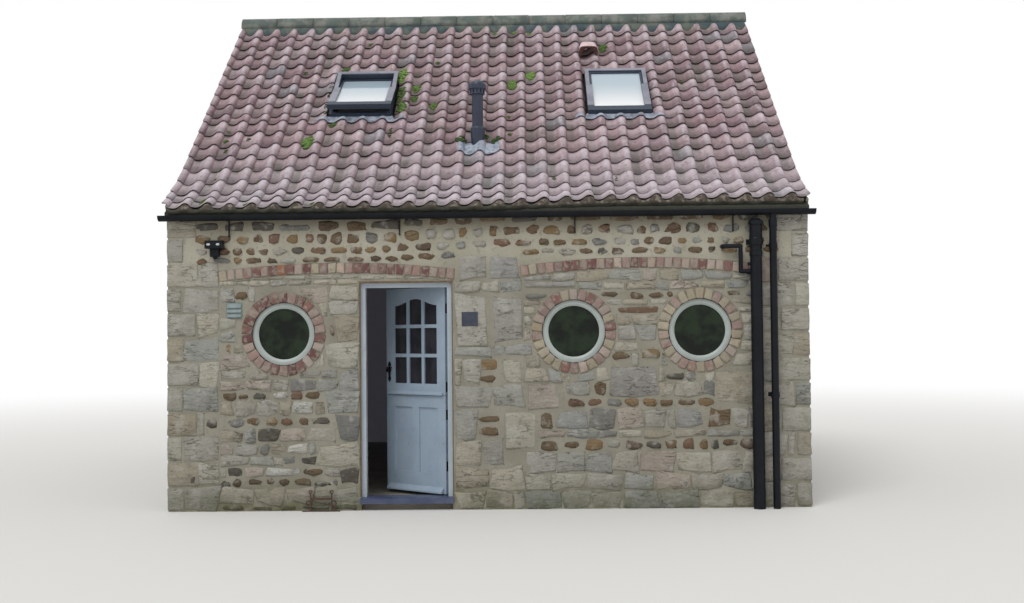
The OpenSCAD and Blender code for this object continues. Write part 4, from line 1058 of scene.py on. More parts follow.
def lay_tiles(seed, light_middles):
    """All tiles of the front slope. A tile at a verge or a rooflight is cut to fit."""
    random = np.random.default_rng(seed)
    shapes = []
    for course in range(len(COURSE_TAILS) - 1):
        for column in TILE_COLUMNS:
            x = FIRST_CREST + COLUMN_WIDTH * column
            droop = 0.0 if course else eave_droop(x)
            tail = tail_of(course, x) + EAVE_SLIP * droop
            head = tail_of(course + 1, x) + TILE_LAP
            points = tile_grid * (1, head - tail, 1, 1)
            lift = TAIL_LIFT + random.uniform(0, 0.006) + EAVE_LIFT * droop
            points[:, 2] += lift * (1 - tile_grid[:, 1])
            points[:, 1] += random.normal(0, 0.004)
            points[:, 0] += x + random.normal(0, 0.006) * points[:, 1] + random.normal(0, 0.0015)
            parts = [(points, tile_faces)]
            if np.abs(points[:, 0]).max() > VERGE:
                side = math.copysign(1, points[:, 0].mean())
                parts = [cut_shape(points, tile_faces, [((side * VERGE, 0, 0), (side, 0, 0))])]
            for middle in light_middles:
                foot, brow = LIGHT_FOOT - FOOT_GAP - tail, LIGHT_HEAD + HEAD_GAP - tail
                hole = (middle - LIGHT_HALF, middle + LIGHT_HALF, foot, brow)
                parts = [kept for part in parts for kept in beside_hole(*part, hole)]
            tint, own_seed = tile_tint(tail, random), random.random()
            for p, f in parts:
                if len(f):
                    tints = np.column_stack([np.broadcast_to(tint[:3], (len(p), 3)), p[:, 3]])
                    shapes.append((on_slope(p, tail, head), f, tints, own_seed))
    return shapes


def to_rear(shapes):
    """The same shapes on the rear slope, turned half a turn about the upright."""
    return [(points * (-1, -1, 1), faces, tint, seed) for points, faces, tint, seed in shapes]


print(len(COURSE_TAILS) - 1, "courses of", len(TILE_COLUMNS), "tiles on each slope")


# %% Pantiles and their finish
def pantile_finish():
    finish = Finish("weathered_pantile", Roughness=0.9, Specular_IOR_Level=0.25)
    seed = finish.read("seed") * 50.0
    shade = finish.read("tint", "Alpha")
    grain = finish.noise(110.0, 6.0, seed)
    streak = finish.noise(14.0, 4.0, seed, finish.stretched(1.6, 0.35, 0.35))
    mottle = finish.noise(26.0, 5.0, seed)
    colour = finish.scaled(finish.read("tint", "Color"), 0.74 + 0.36 * grain + 0.18 * streak)
    colour = finish.mix(mottle.ramp(0.54, 0.68) * 0.55, colour, paint(118, 98, 100))
    colour = finish.mix((1 - mottle).ramp(0.56, 0.70) * 0.5, colour, paint(202, 194, 200))
    # Painted highlight: the rolls are paler, in streaks.
    colour = finish.mix(shade.ramp(0.80, 0.98) * streak.ramp(0.36, 0.62) * 0.5, colour, paint(212, 204, 212))
    film = finish.noise(2.3, 4.0).ramp(0.42, 0.66)
    # Painted shade with grime: the troughs are greyer, more so where the film lies.
    trough = (1 - shade.ramp(0.53, 0.66)) * (0.16 + 0.55 * film)
    colour = finish.mix(trough, colour, paint(104, 104, 98))
    colour = finish.mix(film * finish.noise(17.0, 4.0).ramp(0.50, 0.66) * 0.5, colour, paint(118, 122, 104))
    # Painted shade: the underside and the cut-back tail are dark.
    colour = finish.mix(1 - shade.ramp(0.36, 0.49), colour, paint(38, 36, 42))
    finish.coat(colour=colour, roughness=0.80 + 0.15 * grain)
    finish.bump(grain * 0.6 + finish.noise(34.0, 4.0, seed) * 0.5, 0.004)
    return finish


weathered_pantile = pantile_finish()
front_tiles, rear_tiles = lay_tiles(51, LIGHT_MIDDLES), to_rear(lay_tiles(52, ()))
add_shapes("front_pantiles", front_tiles, weathered_pantile, replaces=["front_roof_slope"])
add_shapes("rear_pantiles", rear_tiles, weathered_pantile, replaces=["rear_roof_slope"])

# %% [markdown]
# ## The deck under the tiles
# The frame's slopes are thick slabs whose top already has the wave of the tiles. The real tiles
# need that space, so the deck is a copy of each slab with its top let down just below the line that
# carries them. From inside it is limewashed. Outside it is dark timber, painted near black as the
# shade under the tiles, and at the eaves it is dark grey-green, painted shade with moss.


# %% Deck
DECK_DROP = 0.020
ROOF_PITCH = math.atan2(SECTION[3, 1] - SECTION[2, 1], SECTION[3, 0] - SECTION[2, 0])


def deck_finish():
    finish = Finish("roof_deck", Roughness=0.9, Specular_IOR_Level=0.2)
    away = finish.axis("Y").size()
    over = finish.axis("Z") + away * math.tan(ROOF_PITCH) - SECTION[3, 1]
    grain = finish.noise(40.0, 5.0)
    # Outside: dark timber, painted darker as the shade under the tiles.
    timber_in_shade = finish.mix(grain.ramp(0.3, 0.7), paint(34, 34, 30), paint(50, 48, 42))
    lime = finish.mix(grain.ramp(0.3, 0.7), paint(186, 182, 172), paint(198, 194, 185))
    inside = finish.mix(over.ramp(-0.09, -0.08), lime, timber_in_shade)
    # At the eaves: dark grey-green, painted shade with moss.
    eaves = away.ramp(BACK + 0.01, BACK + 0.02)
    finish.coat(colour=finish.mix(eaves, inside, finish.mix(grain, paint(44, 48, 44), paint(78, 78, 70))))
    finish.bump(grain, 0.002)
    return finish


def deck_from(node):
    """A copy of a slab whose wavy top is let down to the line that carries the tiles."""
    bm = bmesh.new()
    bm.from_mesh(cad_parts[node].data)
    bmesh.ops.remove_doubles(bm, verts=bm.verts, dist=1e-5)
    for vert in bm.verts:
        run = -abs(vert.co.y) - FRONT
        over = vert.co.z - (np.interp(run, SECTION[:, 0], SECTION[:, 1]) - DECK_DROP)
        if over > -0.004:
            lean = over * math.cos(ROOF_PITCH) * math.sin(ROOF_PITCH)
            if SECTION[2, 0] < run + lean and run < SECTION[3, 0] - 0.07:
                vert.co.y += math.copysign(lean, -vert.co.y)
                over *= math.cos(ROOF_PITCH) ** 2
            vert.co.z -= over
    bmesh.ops.dissolve_degenerate(bm, edges=bm.edges[:], dist=1e-4)
    return mesh_from(bm, node + "_deck", smooth=False)


roof_deck = deck_finish()
for side in ("front", "rear"):
    node = side + "_roof_slope"
    add_piece(side + "_roof_deck", deck_from(node), roof_deck, replaces=[node])

# %% [markdown]
# ## Mortar at the eaves and verges
# The hollows under the rolls of the lowest course are packed with mortar, now dark with dirt, and a
# strip of it beds the edge tiles on the gables. The packing is near black low down, painted shade
# under the tails with moss. Both follow the wave, which `tile_top` gives for any X.


# %% Strips on the slope
def tile_top(x):
    """Height of the tiles' upper face over the line that carries them."""
    first = TILE_STATIONS[-1] - COLUMN_WIDTH
    place = (np.asarray(x) - FIRST_CREST - first) % COLUMN_WIDTH + first
    return np.interp(place, TILE_STATIONS, TILE_HEIGHTS)


def strip(columns, rows, place, thick, name):
    """A sheet of points that place(u, v) puts somewhere, u and v from 0 to 1, given a thickness."""
    bm = bmesh.new()
    bmesh.ops.create_grid(bm, x_segments=columns, y_segments=rows, size=1.0)
    for vert in bm.verts:
        vert.co = place((vert.co.x + 1) / 2, (vert.co.y + 1) / 2)
    bmesh.ops.recalc_face_normals(bm, faces=bm.faces[:])
    bmesh.ops.solidify(bm, geom=bm.faces[:], thickness=thick)
    return mesh_from(bm, name)


def slope_point(x, s, height):
    """A spot on the front slope, with the slope's own direction there."""
    return on_slope(np.array([[x, 0.0, height]]), s, min(s + 0.02, SECTION_RUN[-1]))[0]


def add_on_both(name, columns, rows, place, thick, finish, replaces=()):
    """The same strip on the front slope and, turned half a turn, on the rear slope."""
    for side in ("front", "rear"):
        mesh = strip(columns, rows, place, thick, side + "_" + name)
        if side == "rear":
            mesh.transform(Matrix.Rotation(math.pi, 4, "Z"))
        add_piece(side + "_" + name, mesh, finish, replaces)


print("the tiles are", round(float(tile_top(0)), 3), "m high at the middle of the roof")


# %% Eaves and verge mortar
EAVES_END, VERGE_MIDDLE = 2.99, 3.031


def packing_finish():
    finish = Finish("eaves_packing", Roughness=0.95, Specular_IOR_Level=0.15)
    away = finish.axis("Y").size()
    slope = (SECTION[1, 1] - SECTION[0, 1]) / (SECTION[1, 0] - SECTION[0, 0])
    over = finish.axis("Z") + away * slope - (SECTION[0, 1] + slope * (BACK - SECTION[0, 0]))
    packed = finish.mix(finish.noise(26.0, 5.0).ramp(0.45, 0.7), paint(86, 78, 72), paint(150, 142, 130))
    dirty = finish.mix(finish.noise(18.0, 4.0), paint(40, 44, 38), paint(92, 90, 80))
    finish.coat(colour=finish.mix(over.ramp(0.016, 0.030), dirty, packed))
    finish.bump(finish.noise(60.0, 5.0), 0.006)
    return finish


def eaves_spot(u, v):
    x = -EAVES_END + 2 * EAVES_END * u
    top = float(tile_top(x)) + TAIL_LIFT - TILE_THICK - 0.002 + EAVE_LIFT * eave_droop(x)
    s = 0.020 + EAVE_SLIP * eave_droop(x) + 0.004 * math.sin(x * 37)
    return slope_point(x, s, (top + DECK_DROP) * v - DECK_DROP)


def verge_spot(side):
    def place(u, v):
        s = 0.04 + (SECTION_RUN[-1] - 0.10) * u
        return slope_point(side * VERGE_MIDDLE, s, -0.020 + (0.042 + 0.006 * math.sin(s * 29)) * v)

    return place


eaves_packing = packing_finish()
add_on_both("eaves_mortar", 290, 2, eaves_spot, 0.05, eaves_packing)
add_on_both("verge_mortar_left", 90, 2, verge_spot(-1), 0.02, lime_mortar)
add_on_both("verge_mortar_right", 90, 2, verge_spot(1), 0.02, lime_mortar)

# %% [markdown]
# ## Ridge
# Half-round tiles cover the top. A tile is one small face spun through half a turn, and a slimmer
# one that runs the whole length inside them is the mortar in their joints. More mortar runs down
# into the troughs between the rolls of the top course. Moss has darkened it all but the crown.

# %% Ridge tiles
RIDGE_Z, RIDGE_INNER, RIDGE_OUTER = 5.398, 0.112, 0.130
RIDGE_COUNT, RIDGE_END, RIDGE_SWEEP = 14, 3.060, math.radians(196)


def ridge_finish(name, dry_tints, moss_tints, crown):
    """Dry within the distance crown of the ridge line, and mossy beyond it."""
    finish = Finish(name, Roughness=0.93, Specular_IOR_Level=0.2)
    away = finish.axis("Y").size()
    wet = (away + 0.07 * finish.noise(5.0, 4.0)).ramp(crown, crown + 0.05)
    grain = finish.noise(60.0, 6.0)
    dry = finish.mix(grain.ramp(0.35, 0.65), *dry_tints)
    moss = finish.mix(finish.noise(7.0, 5.0).ramp(0.42, 0.60), *moss_tints)
    moss = finish.mix(finish.noise(31.0, 4.0).ramp(0.60, 0.70) * 0.7, moss, paint(104, 122, 62))
    finish.coat(colour=finish.scaled(finish.mix(wet, dry, moss), 0.82 + 0.36 * grain))
    finish.bump(grain + finish.noise(20.0, 4.0) * 0.6, 0.008)
    return finish


def ridge_tile(bm, low, high, lift, inner, outer):
    """A half ring about the ridge line between two X."""
    corners = [(low, 0, inner), (high, 0, inner), (high, 0, outer), (low, 0, outer)]
    face = bm.faces.new([bm.verts.new(Vector(corner)) for corner in corners])
    turn = Matrix.Rotation(-RIDGE_SWEEP / 2, 4, "X")
    bmesh.ops.transform(bm, matrix=turn, verts=face.verts[:])
    before = set(bm.verts) - set(face.verts)
    bmesh.ops.spin(bm, geom=[face], cent=(0, 0, 0), axis=(1, 0, 0), angle=RIDGE_SWEEP, steps=10)
    new = [vert for vert in bm.verts if vert not in before]
    bmesh.ops.translate(bm, verts=new, vec=(0, 0, RIDGE_Z + lift))


mossy_ridge = ridge_finish("mossy_ridge", (paint(148, 148, 144), paint(176, 176, 172)),
                           (paint(98, 108, 104), paint(130, 132, 126)), 0.055)
mossy_mortar = ridge_finish("mossy_mortar", (paint(84, 96, 98), paint(104, 112, 108)),
                            (paint(74, 88, 94), paint(100, 108, 100)), 0.010)
print("mossy finishes ready")

# %% Covers and joints of the ridge
ridge_random = np.random.default_rng(61)
bm = bmesh.new()
for n in range(RIDGE_COUNT):
    low = -RIDGE_END + 2 * RIDGE_END * n / RIDGE_COUNT + 0.004
    high = -RIDGE_END + 2 * RIDGE_END * (n + 1) / RIDGE_COUNT - 0.004
    ridge_tile(bm, low, high, ridge_random.uniform(-0.003, 0.003), RIDGE_INNER, RIDGE_OUTER)
add_piece("ridge_covers", mesh_from(bm, "ridge_covers"), mossy_ridge, replaces=["ridge_tiles"])
bm = bmesh.new()
ridge_tile(bm, 0.005 - RIDGE_END, RIDGE_END - 0.005, 0.0, RIDGE_INNER - 0.008, RIDGE_OUTER - 0.008)
for side in (-1, 1):
    low, high = sorted((side * (RIDGE_END - 0.010), side * (RIDGE_END - 0.045)))
    ridge_tile(bm, low, high, 0.0, 0.004, RIDGE_OUTER - 0.014)
add_piece("ridge_joints", mesh_from(bm, "ridge_joints"), mossy_mortar, replaces=["ridge_tiles"])


# %% Ridge bedding
BEDDING_END = 3.035


def bedding_spot(u, v):
    """The mortar's foot in the troughs, its brow over them, its upper edge and its head."""
    x = -BEDDING_END + 2 * BEDDING_END * u
    top = float(tile_top(x))
    hollow = 1 - min(top / 0.050, 1.0)
    reach = (0.10 + 0.04 * u + 0.03 * math.sin(x * 4.1) + 0.02 * math.sin(x * 17)) * hollow
    foot = slope_point(x, 3.972 - reach, top + 0.001)
    brow = slope_point(x, 3.978 - 0.25 * reach, max(top, 0.045) + 0.006)
    edge = slope_point(x, 3.996, 0.066)
    head = np.array([x, -0.100, RIDGE_Z - 0.002])
    return [foot, brow, edge, head][round(v * 3)]


add_on_both("ridge_bedding", 290, 3, bedding_spot, 0.025, mossy_mortar, ["ridge_tiles"])

# %% [markdown]
# ## Lead
# Soft lead sheet is dressed from each rooflight over the tiles below it, and round the foot of the
# vent pipe. It starts flat against the frame and takes the wave of the tiles within a hand's
# breadth. A fine grid is bent to both and thickened to four millimetres.


# %% Lead aprons and the pipe's slate
def lead_finish():
    finish = Finish("dull_lead", Roughness=0.55, Specular_IOR_Level=0.4)
    bloom = finish.noise(13.0, 5.0)
    colour = finish.mix(bloom.ramp(0.35, 0.65), paint(136, 144, 160), paint(172, 180, 194))
    stain = finish.noise(23.0, 5.0).ramp(0.52, 0.64) * 0.7
    colour = finish.mix(stain, colour, paint(80, 88, 84))
    colour = finish.scaled(colour, 0.86 + 0.24 * finish.noise(70.0, 5.0))
    finish.coat(colour=colour, roughness=0.45 + 0.25 * bloom)
    finish.bump(finish.noise(28.0, 3.0), 0.003)
    return finish


APRON_HALF, APRON_FOOT, APRON_HEAD, LIGHT_LEDGE = 0.478, 1.764, 1.818, 1.858
SLATE_X, SLATE_HALF, SLATE_FOOT, SLATE_LENGTH = -0.098, 0.208, 1.088, 0.292
LEAD_THICK = 0.004


def apron_spot(middle):
    def place(u, v):
        x = middle + APRON_HALF * (2 * u - 1)
        beside = abs(x - middle) > LIGHT_HALF
        wave = float(tile_top(x)) + 0.027 - 0.006 * v + 0.002 * math.sin(x * 61)
        flat = 0.0 if beside else min(max((v - 0.5) / 0.2, 0), 1)
        head = APRON_HEAD if beside else LIGHT_LEDGE
        foot = APRON_FOOT + 0.008 * math.sin(x * 29.9 + 1)
        return slope_point(x, foot + (head - foot) * v, wave * (1 - flat) + 0.050 * flat)

    return place


def slate_spot(u, v):
    x = SLATE_X + SLATE_HALF * (2 * u - 1)
    height = float(tile_top(x)) + 0.028 - 0.020 * v + 0.002 * math.sin(x * 61)
    return slope_point(x, SLATE_FOOT + SLATE_LENGTH * v + 0.006 * (1 - v) * math.sin(x * 43), height)


dull_lead = lead_finish()
lead_sheets = {
    "apron_left": apron_spot(LIGHT_MIDDLES[0]),
    "apron_right": apron_spot(LIGHT_MIDDLES[1]),
    "pipe_slate": slate_spot,
}
for name, place in lead_sheets.items():
    add_piece(name, strip(60, 10, place, LEAD_THICK, name), dull_lead, replaces=["lead_flashings"])


# %% [markdown]
# ## Paint, metal and plastic
# The frame's own pieces keep their shapes and get their finishes here. Most are alike: a main
# colour, a second one that comes through in patches, dirt in specks and a fine bump. One function
# makes them all, and each piece gives it its own colours, sizes and gloss.


# %% Weathered finishes
def weathered(name, main, other, dirt, roughness, patch=4.0, dirty=0.3, fine=90.0, depth=0.0008, **constants):
    """patch and fine are how many patches and specks there are to a metre."""
    finish = Finish(name, **constants)
    specks = finish.noise(fine, 5.0)
    colour = finish.mix(finish.noise(patch, 5.0).ramp(0.35, 0.65), main, other)
    colour = finish.mix(finish.noise(patch * 5, 6.0).ramp(0.55, 0.75) * dirty, colour, dirt)
    finish.coat(colour=finish.scaled(colour, 0.95 + 0.1 * specks), roughness=roughness - 0.08 + 0.16 * specks)
    finish.bump(specks, depth)
    return finish


GRIME = paint(84, 82, 74)
door_paint = weathered("door_paint", paint(150, 166, 182), paint(142, 158, 174), GRIME, 0.42, dirty=0.2)
frame_paint = weathered("frame_paint", paint(170, 180, 190), paint(160, 170, 180), GRIME, 0.42, dirty=0.22)
sill_paint = weathered("sill_paint", paint(58, 66, 94), paint(76, 84, 108), paint(104, 102, 98), 0.35, 9.0)
sage_paint = weathered("sage_paint", paint(168, 176, 172), paint(158, 166, 162), GRIME, 0.45, dirty=0.25)
NAVY, LOW_SHINE = (paint(13, 16, 22), paint(20, 23, 29), paint(52, 54, 54)), {"Specular_IOR_Level": 0.18}
SLATY_BLUE = (paint(30, 38, 58), paint(40, 50, 72), paint(70, 78, 84))
IRON = (paint(18, 20, 24), paint(28, 28, 30), paint(60, 50, 42))
SIGN = (paint(44, 50, 64), paint(54, 61, 76), paint(78, 84, 94))
RUST = (paint(84, 58, 48), paint(60, 48, 44), paint(120, 80, 56))
gutter_black = weathered("gutter_black", *NAVY, 0.45, 5.0, 0.2, **LOW_SHINE)
vent_slate = weathered("vent_slate", *SLATY_BLUE, 0.36, 8.0, dirty=0.15)
iron_black = weathered("iron_black", *IRON, 0.5, 12.0, **LOW_SHINE)
pale_vent = weathered("pale_vent", paint(120, 134, 134), paint(108, 122, 124), GRIME, 0.5, 12.0)
sign_slate = weathered("sign_slate", *SIGN, 0.6, 16.0, depth=0.003)
rusted = weathered("rusted_iron", *RUST, 0.85, 22.0, 0.6, depth=0.003)
flagged = weathered("worn_flags", paint(132, 126, 114), paint(116, 110, 100), GRIME, 0.75, 3.0, depth=0.002)
print("weathered finishes ready")

# %% [markdown]
# ## The cover of the roof vent
# A flat-topped hood of clay stands on the right of the roof, scoured pale above, and dark low down
# and on its front face. Its back sinks into the tiles. Three strips make it: the cover, bent to a
# squarish arch that grows lower and narrower, a round throat under it, and the face between their rims.


# %% Finish of the vent's cover
HOOD_X, HOOD_START, HOOD_LENGTH = 1.112, 3.153, 0.235


def hood_finish():
    """Scoured pale above, and dark low down and on its front face."""
    finish = Finish("hood_clay", Roughness=0.88, Specular_IOR_Level=0.25)
    over = (finish.axis("Z") - finish.axis("Y") * math.tan(ROOF_PITCH) - SECTION[3, 1]) * math.cos(ROOF_PITCH)
    speck = finish.noise(60.0, 5.0)
    pale = finish.mix(finish.noise(14.0, 4.0).ramp(0.4, 0.65), paint(216, 196, 198), paint(200, 172, 168))
    low = finish.mix(speck.ramp(0.4, 0.6), paint(66, 58, 58), paint(110, 76, 68))
    up = finish.axis("Y") * math.cos(ROOF_PITCH) + finish.axis("Z") * math.sin(ROOF_PITCH)
    front, front_z = on_section(HOOD_START)
    face = up - (front * math.cos(ROOF_PITCH) + front_z * math.sin(ROOF_PITCH))
    scoured = over.ramp(0.085, 0.125) * face.ramp(0.004, 0.012)
    finish.coat(colour=finish.scaled(finish.mix(scoured, low, pale), 0.92 + 0.16 * speck))
    finish.bump(speck, 0.003)
    return finish


hood_clay = hood_finish()
# Red clay inside the vent, painted darker as the shade under the cover.
throat_clay_in_shade = weathered("throat_clay_in_shade", paint(112, 72, 58), paint(88, 58, 50), paint(58, 46, 42), 0.9, 20.0)
print("clay finishes ready")


# %% Cover, mouth and throat of the vent
def cover_spot(u, v):
    """The flat-topped cover of the vent, which sinks into the tiles at its back."""
    turn, along, drop = math.pi * u, min(v / 0.85, 1), max((v - 0.85) / 0.15, 0)
    high = (0.187 - 0.055 * along) * (1 - drop) + 0.04 * drop
    across = math.copysign(abs(math.cos(turn)) ** 0.4, math.cos(turn))
    x = HOOD_X - (0.110 - 0.030 * along**2) * across
    height = 0.02 + (high - 0.02) * math.sin(turn) ** 0.4
    return slope_point(x, HOOD_START + HOOD_LENGTH * along + 0.02 * drop, height)


def throat_spot(u, v):
    """A half-round tunnel that runs back and down under the cover."""
    turn = math.pi * u
    x, height = HOOD_X - 0.088 * math.cos(turn), 0.03 + (0.145 - 0.05 * v) * math.sin(turn)
    return slope_point(x, HOOD_START + 0.21 * v, height)


def mouth_spot(u, v):
    """The face between the front rims of the throat and of the cover."""
    return Vector(cover_spot(u, 0)) * v + Vector(throat_spot(u, 0)) * (1 - v)


add_piece("vent_cover", strip(32, 14, cover_spot, 0.010, "vent_cover"), hood_clay,
          replaces=["terracotta_vent_hood"])
add_piece("vent_mouth", strip(32, 2, mouth_spot, 0.012, "vent_mouth"), hood_clay)
add_piece("vent_throat", strip(28, 6, throat_spot, 0.006, "vent_throat"), throat_clay_in_shade)

# %% [markdown]
# ## Covers of the rooflights
# The metal covers are pale above and dark in front, painted shade on the lower bar's edge and in the
# gap under it. The finish needs to know how far up the slope and how far out of it a spot lies, so it
# turns Y and Z by the pitch of the roof and measures from the foot of the rooflight.


# %% Finish of the rooflight covers
def light_finish():
    """Pale covers over a dark front: painted shade on the lower bar's edge and in the gap under it."""
    finish = Finish("rooflight_covers", Roughness=0.45, Specular_IOR_Level=0.3)
    up = finish.axis("Y") * math.cos(ROOF_PITCH) + finish.axis("Z") * math.sin(ROOF_PITCH)
    out = finish.axis("Z") * math.cos(ROOF_PITCH) - finish.axis("Y") * math.sin(ROOF_PITCH)
    foot, foot_z = on_section(LIGHT_FOOT)
    start = foot * math.cos(ROOF_PITCH) + foot_z * math.sin(ROOF_PITCH)
    level = foot_z * math.cos(ROOF_PITCH) - foot * math.sin(ROOF_PITCH)
    speck = finish.noise(60.0, 5.0)
    pale = finish.mix(finish.noise(6.0, 5.0).ramp(0.35, 0.65), paint(122, 124, 136), paint(142, 143, 155))
    dark = finish.mix(finish.noise(30.0, 4.0), paint(34, 42, 54), paint(66, 76, 92))
    covered = (up - start).ramp(0.098, 0.104) * (out - level).ramp(0.086, 0.094)
    finish.coat(colour=finish.scaled(finish.mix(covered, dark, pale), 0.94 + 0.12 * speck))
    finish.bump(speck, 0.0008)
    return finish


rooflight_covers = light_finish()
dress(rooflight_covers, "rooflight_frame_left", "rooflight_frame_right")
dress(rooflight_covers, "rooflight_sash_left", "rooflight_sash_right")
print("rooflight covers are dressed")

# %% Finishes of the other pieces of the frame
dress(door_paint, "upper_door_leaf", "lower_door_leaf")
dress(frame_paint, "door_frame", "door_stop")
dress(sill_paint, "door_sill")
dress(sage_paint, "porthole_frame_left", "porthole_frame_middle", "porthole_frame_right")
dress(gutter_black, "front_gutter", "rear_gutter", "rain_downpipe", "soil_stack", "waste_pipe")
dress(gutter_black, "outside_lamp")
dress(vent_slate, "roof_vent_pipe")
dress(iron_black, "gutter_brackets", "door_latch")
dress(iron_black, "frame_hinges", "upper_door_hinges", "lower_door_hinges")
dress(pale_vent, "louvre_vent")
dress(sign_slate, "house_sign")
dress(rusted, "boot_scraper")
dress(flagged, "floor_slab")
print("finishes on the frame's own pieces")

# %% [markdown]
# ## Glass
# Panes are looked at from outside. The porthole panes are painted dark as the shade of the room
# behind them, with a green haze that is a painted reflection of trees, and the rooflight panes are
# white, a painted reflection of the sky, and grey-blue near their upper edge, painted shade of the
# sash. All of them are one piece of the frame, so its finish blends from the first shader to the
# second with height. The glass of the door has a finish of its own, painted grey as the shade of the
# dim room behind it.


# %% Glass
def pane_finish():
    """Dark with a green haze below 3 m, and bright above: painted shade of the room, a painted reflection of
    trees and a painted reflection of the sky.
    """
    finish = Finish("window_panes", Roughness=0.04, IOR=1.3, Transmission_Weight=0.5)
    haze = finish.noise(7.0, 4.0)
    # Painted shade of the room behind, with a green haze as a painted reflection of trees.
    finish.coat(colour=finish.mix(haze.ramp(0.4, 0.65), paint(12, 24, 14), paint(44, 62, 38)))
    # Painted reflection of the sky, grey-blue towards the top as painted shade of the sash.
    painted_sky = finish.mix(finish.axis("Z").ramp(4.0, 4.45), paint(255, 255, 255), paint(178, 196, 208))
    gloss = {"Base Color": painted_sky, "Roughness": 0.06, "IOR": 1.9, "Transmission Weight": 0.15}
    bright = finish.node("ShaderNodeBsdfPrincipled", {}, gloss)
    finish.blend(finish.axis("Z").ramp(3.0, 3.1), bright)
    return finish


def door_glass_finish():
    finish = Finish("door_panes", Roughness=0.03, IOR=1.3, Transmission_Weight=0.6)
    haze = finish.noise(6.0, 3.0)
    # Painted shade of the dim room behind the glass.
    finish.coat(colour=finish.mix(haze.ramp(0.3, 0.7), paint(58, 58, 66), paint(84, 84, 90)))
    return finish


dress(pane_finish(), "window_glass")
dress(door_glass_finish(), "upper_door_glass")
print("panes ready")

# %% [markdown]
# ## Seals, drip and lenses
# A dark bead of sealant runs round each porthole, dark also as painted shadow of the gap round the
# frame: a small square face spun through a full turn.
# A thin brown strip of timber runs up both sides and over the head of the door frame, and two pale
# lenses sit in the lamp's face.

# %% Seals round the portholes
SEAL_INNER, SEAL_WIDTH, SEAL_PROUD, SEAL_DEPTH = 0.2945, 0.008, 0.006, 0.012
# Dark sealant, darker still as the painted shadow of the gap round each frame.
seal_and_gap_shadow = weathered("seal_and_gap_shadow", paint(46, 40, 34), paint(60, 52, 44), paint(88, 78, 64), 0.8, 14.0)
bm = bmesh.new()
square = [(0, 0), (1, 0), (1, 1), (0, 1)]
for x, z in RING_PLACES:
    corners = [(a * SEAL_WIDTH, SEAL_DEPTH - b * (SEAL_PROUD + SEAL_DEPTH)) for a, b in square]
    face = bm.faces.new([bm.verts.new((x + SEAL_INNER + u, FRONT + v, z)) for u, v in corners])
    bmesh.ops.spin(bm, geom=[face], cent=(x, 0, z), axis=(0, 1, 0), angle=math.tau, steps=64, use_merge=True)
bmesh.ops.remove_doubles(bm, verts=bm.verts, dist=1e-5)
add_piece("porthole_seals", mesh_from(bm, "porthole_seals"), seal_and_gap_shadow)

# %% Strip round the door, as the lowest and highest X and Z of each side
DRIP_PROUD, DRIP_DEPTH, DRIP_FOOT, DRIP_ARRIS, DRIP_ROUGH = 0.006, 0.02, 0.13, 0.003, 0.0008
DRIP_SIDES = [
    ((DOOR_LEFT - 0.012, DOOR_HEAD + 0.001), (DOOR_RIGHT + 0.014, DOOR_HEAD + 0.017)),
    ((DOOR_LEFT - 0.011, DRIP_FOOT), (DOOR_LEFT - 0.001, DOOR_HEAD)),
    ((DOOR_RIGHT + 0.001, DRIP_FOOT), (DOOR_RIGHT + 0.008, DOOR_HEAD)),
]
DRIP_TINTS = (paint(98, 78, 58), paint(122, 100, 74), paint(60, 50, 42))
drip_wood = weathered("drip_wood", *DRIP_TINTS, 0.85, 18.0, depth=0.004)
drip_random = np.random.default_rng(81)
drips = []
for (left, bottom), (right, top) in DRIP_SIDES:
    low, high = (left, FRONT - DRIP_PROUD, bottom), (right, FRONT + DRIP_DEPTH, top)
    drips.append((block_points(low, high, DRIP_ARRIS, DRIP_ROUGH, drip_random), block_faces, DARK, 0.5))
add_shapes("door_drip", drips, drip_wood)

# %% Lenses of the lamp
LENS_APART, LENS_DROP, LENS_SIZE = 0.045, 0.038, (0.0185, 0.006, 0.0115, 1.0)
lens_glass = weathered("lamp_lenses", paint(196, 198, 200), paint(176, 180, 184), GRIME, 0.3, 30.0)
lamp_low, lamp_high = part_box("outside_lamp")
bm = bmesh.new()
for side in (-1, 1):
    x = (lamp_low.x + lamp_high.x) / 2 + side * LENS_APART
    spot = Matrix.Translation((x, lamp_low.y + 0.001, lamp_high.z - LENS_DROP))
    lens = spot @ Matrix.Diagonal(LENS_SIZE)
    bmesh.ops.create_uvsphere(bm, u_segments=20, v_segments=10, radius=1.0, matrix=lens)
add_piece("lamp_lenses", mesh_from(bm, "lamp_lenses"), lens_glass)
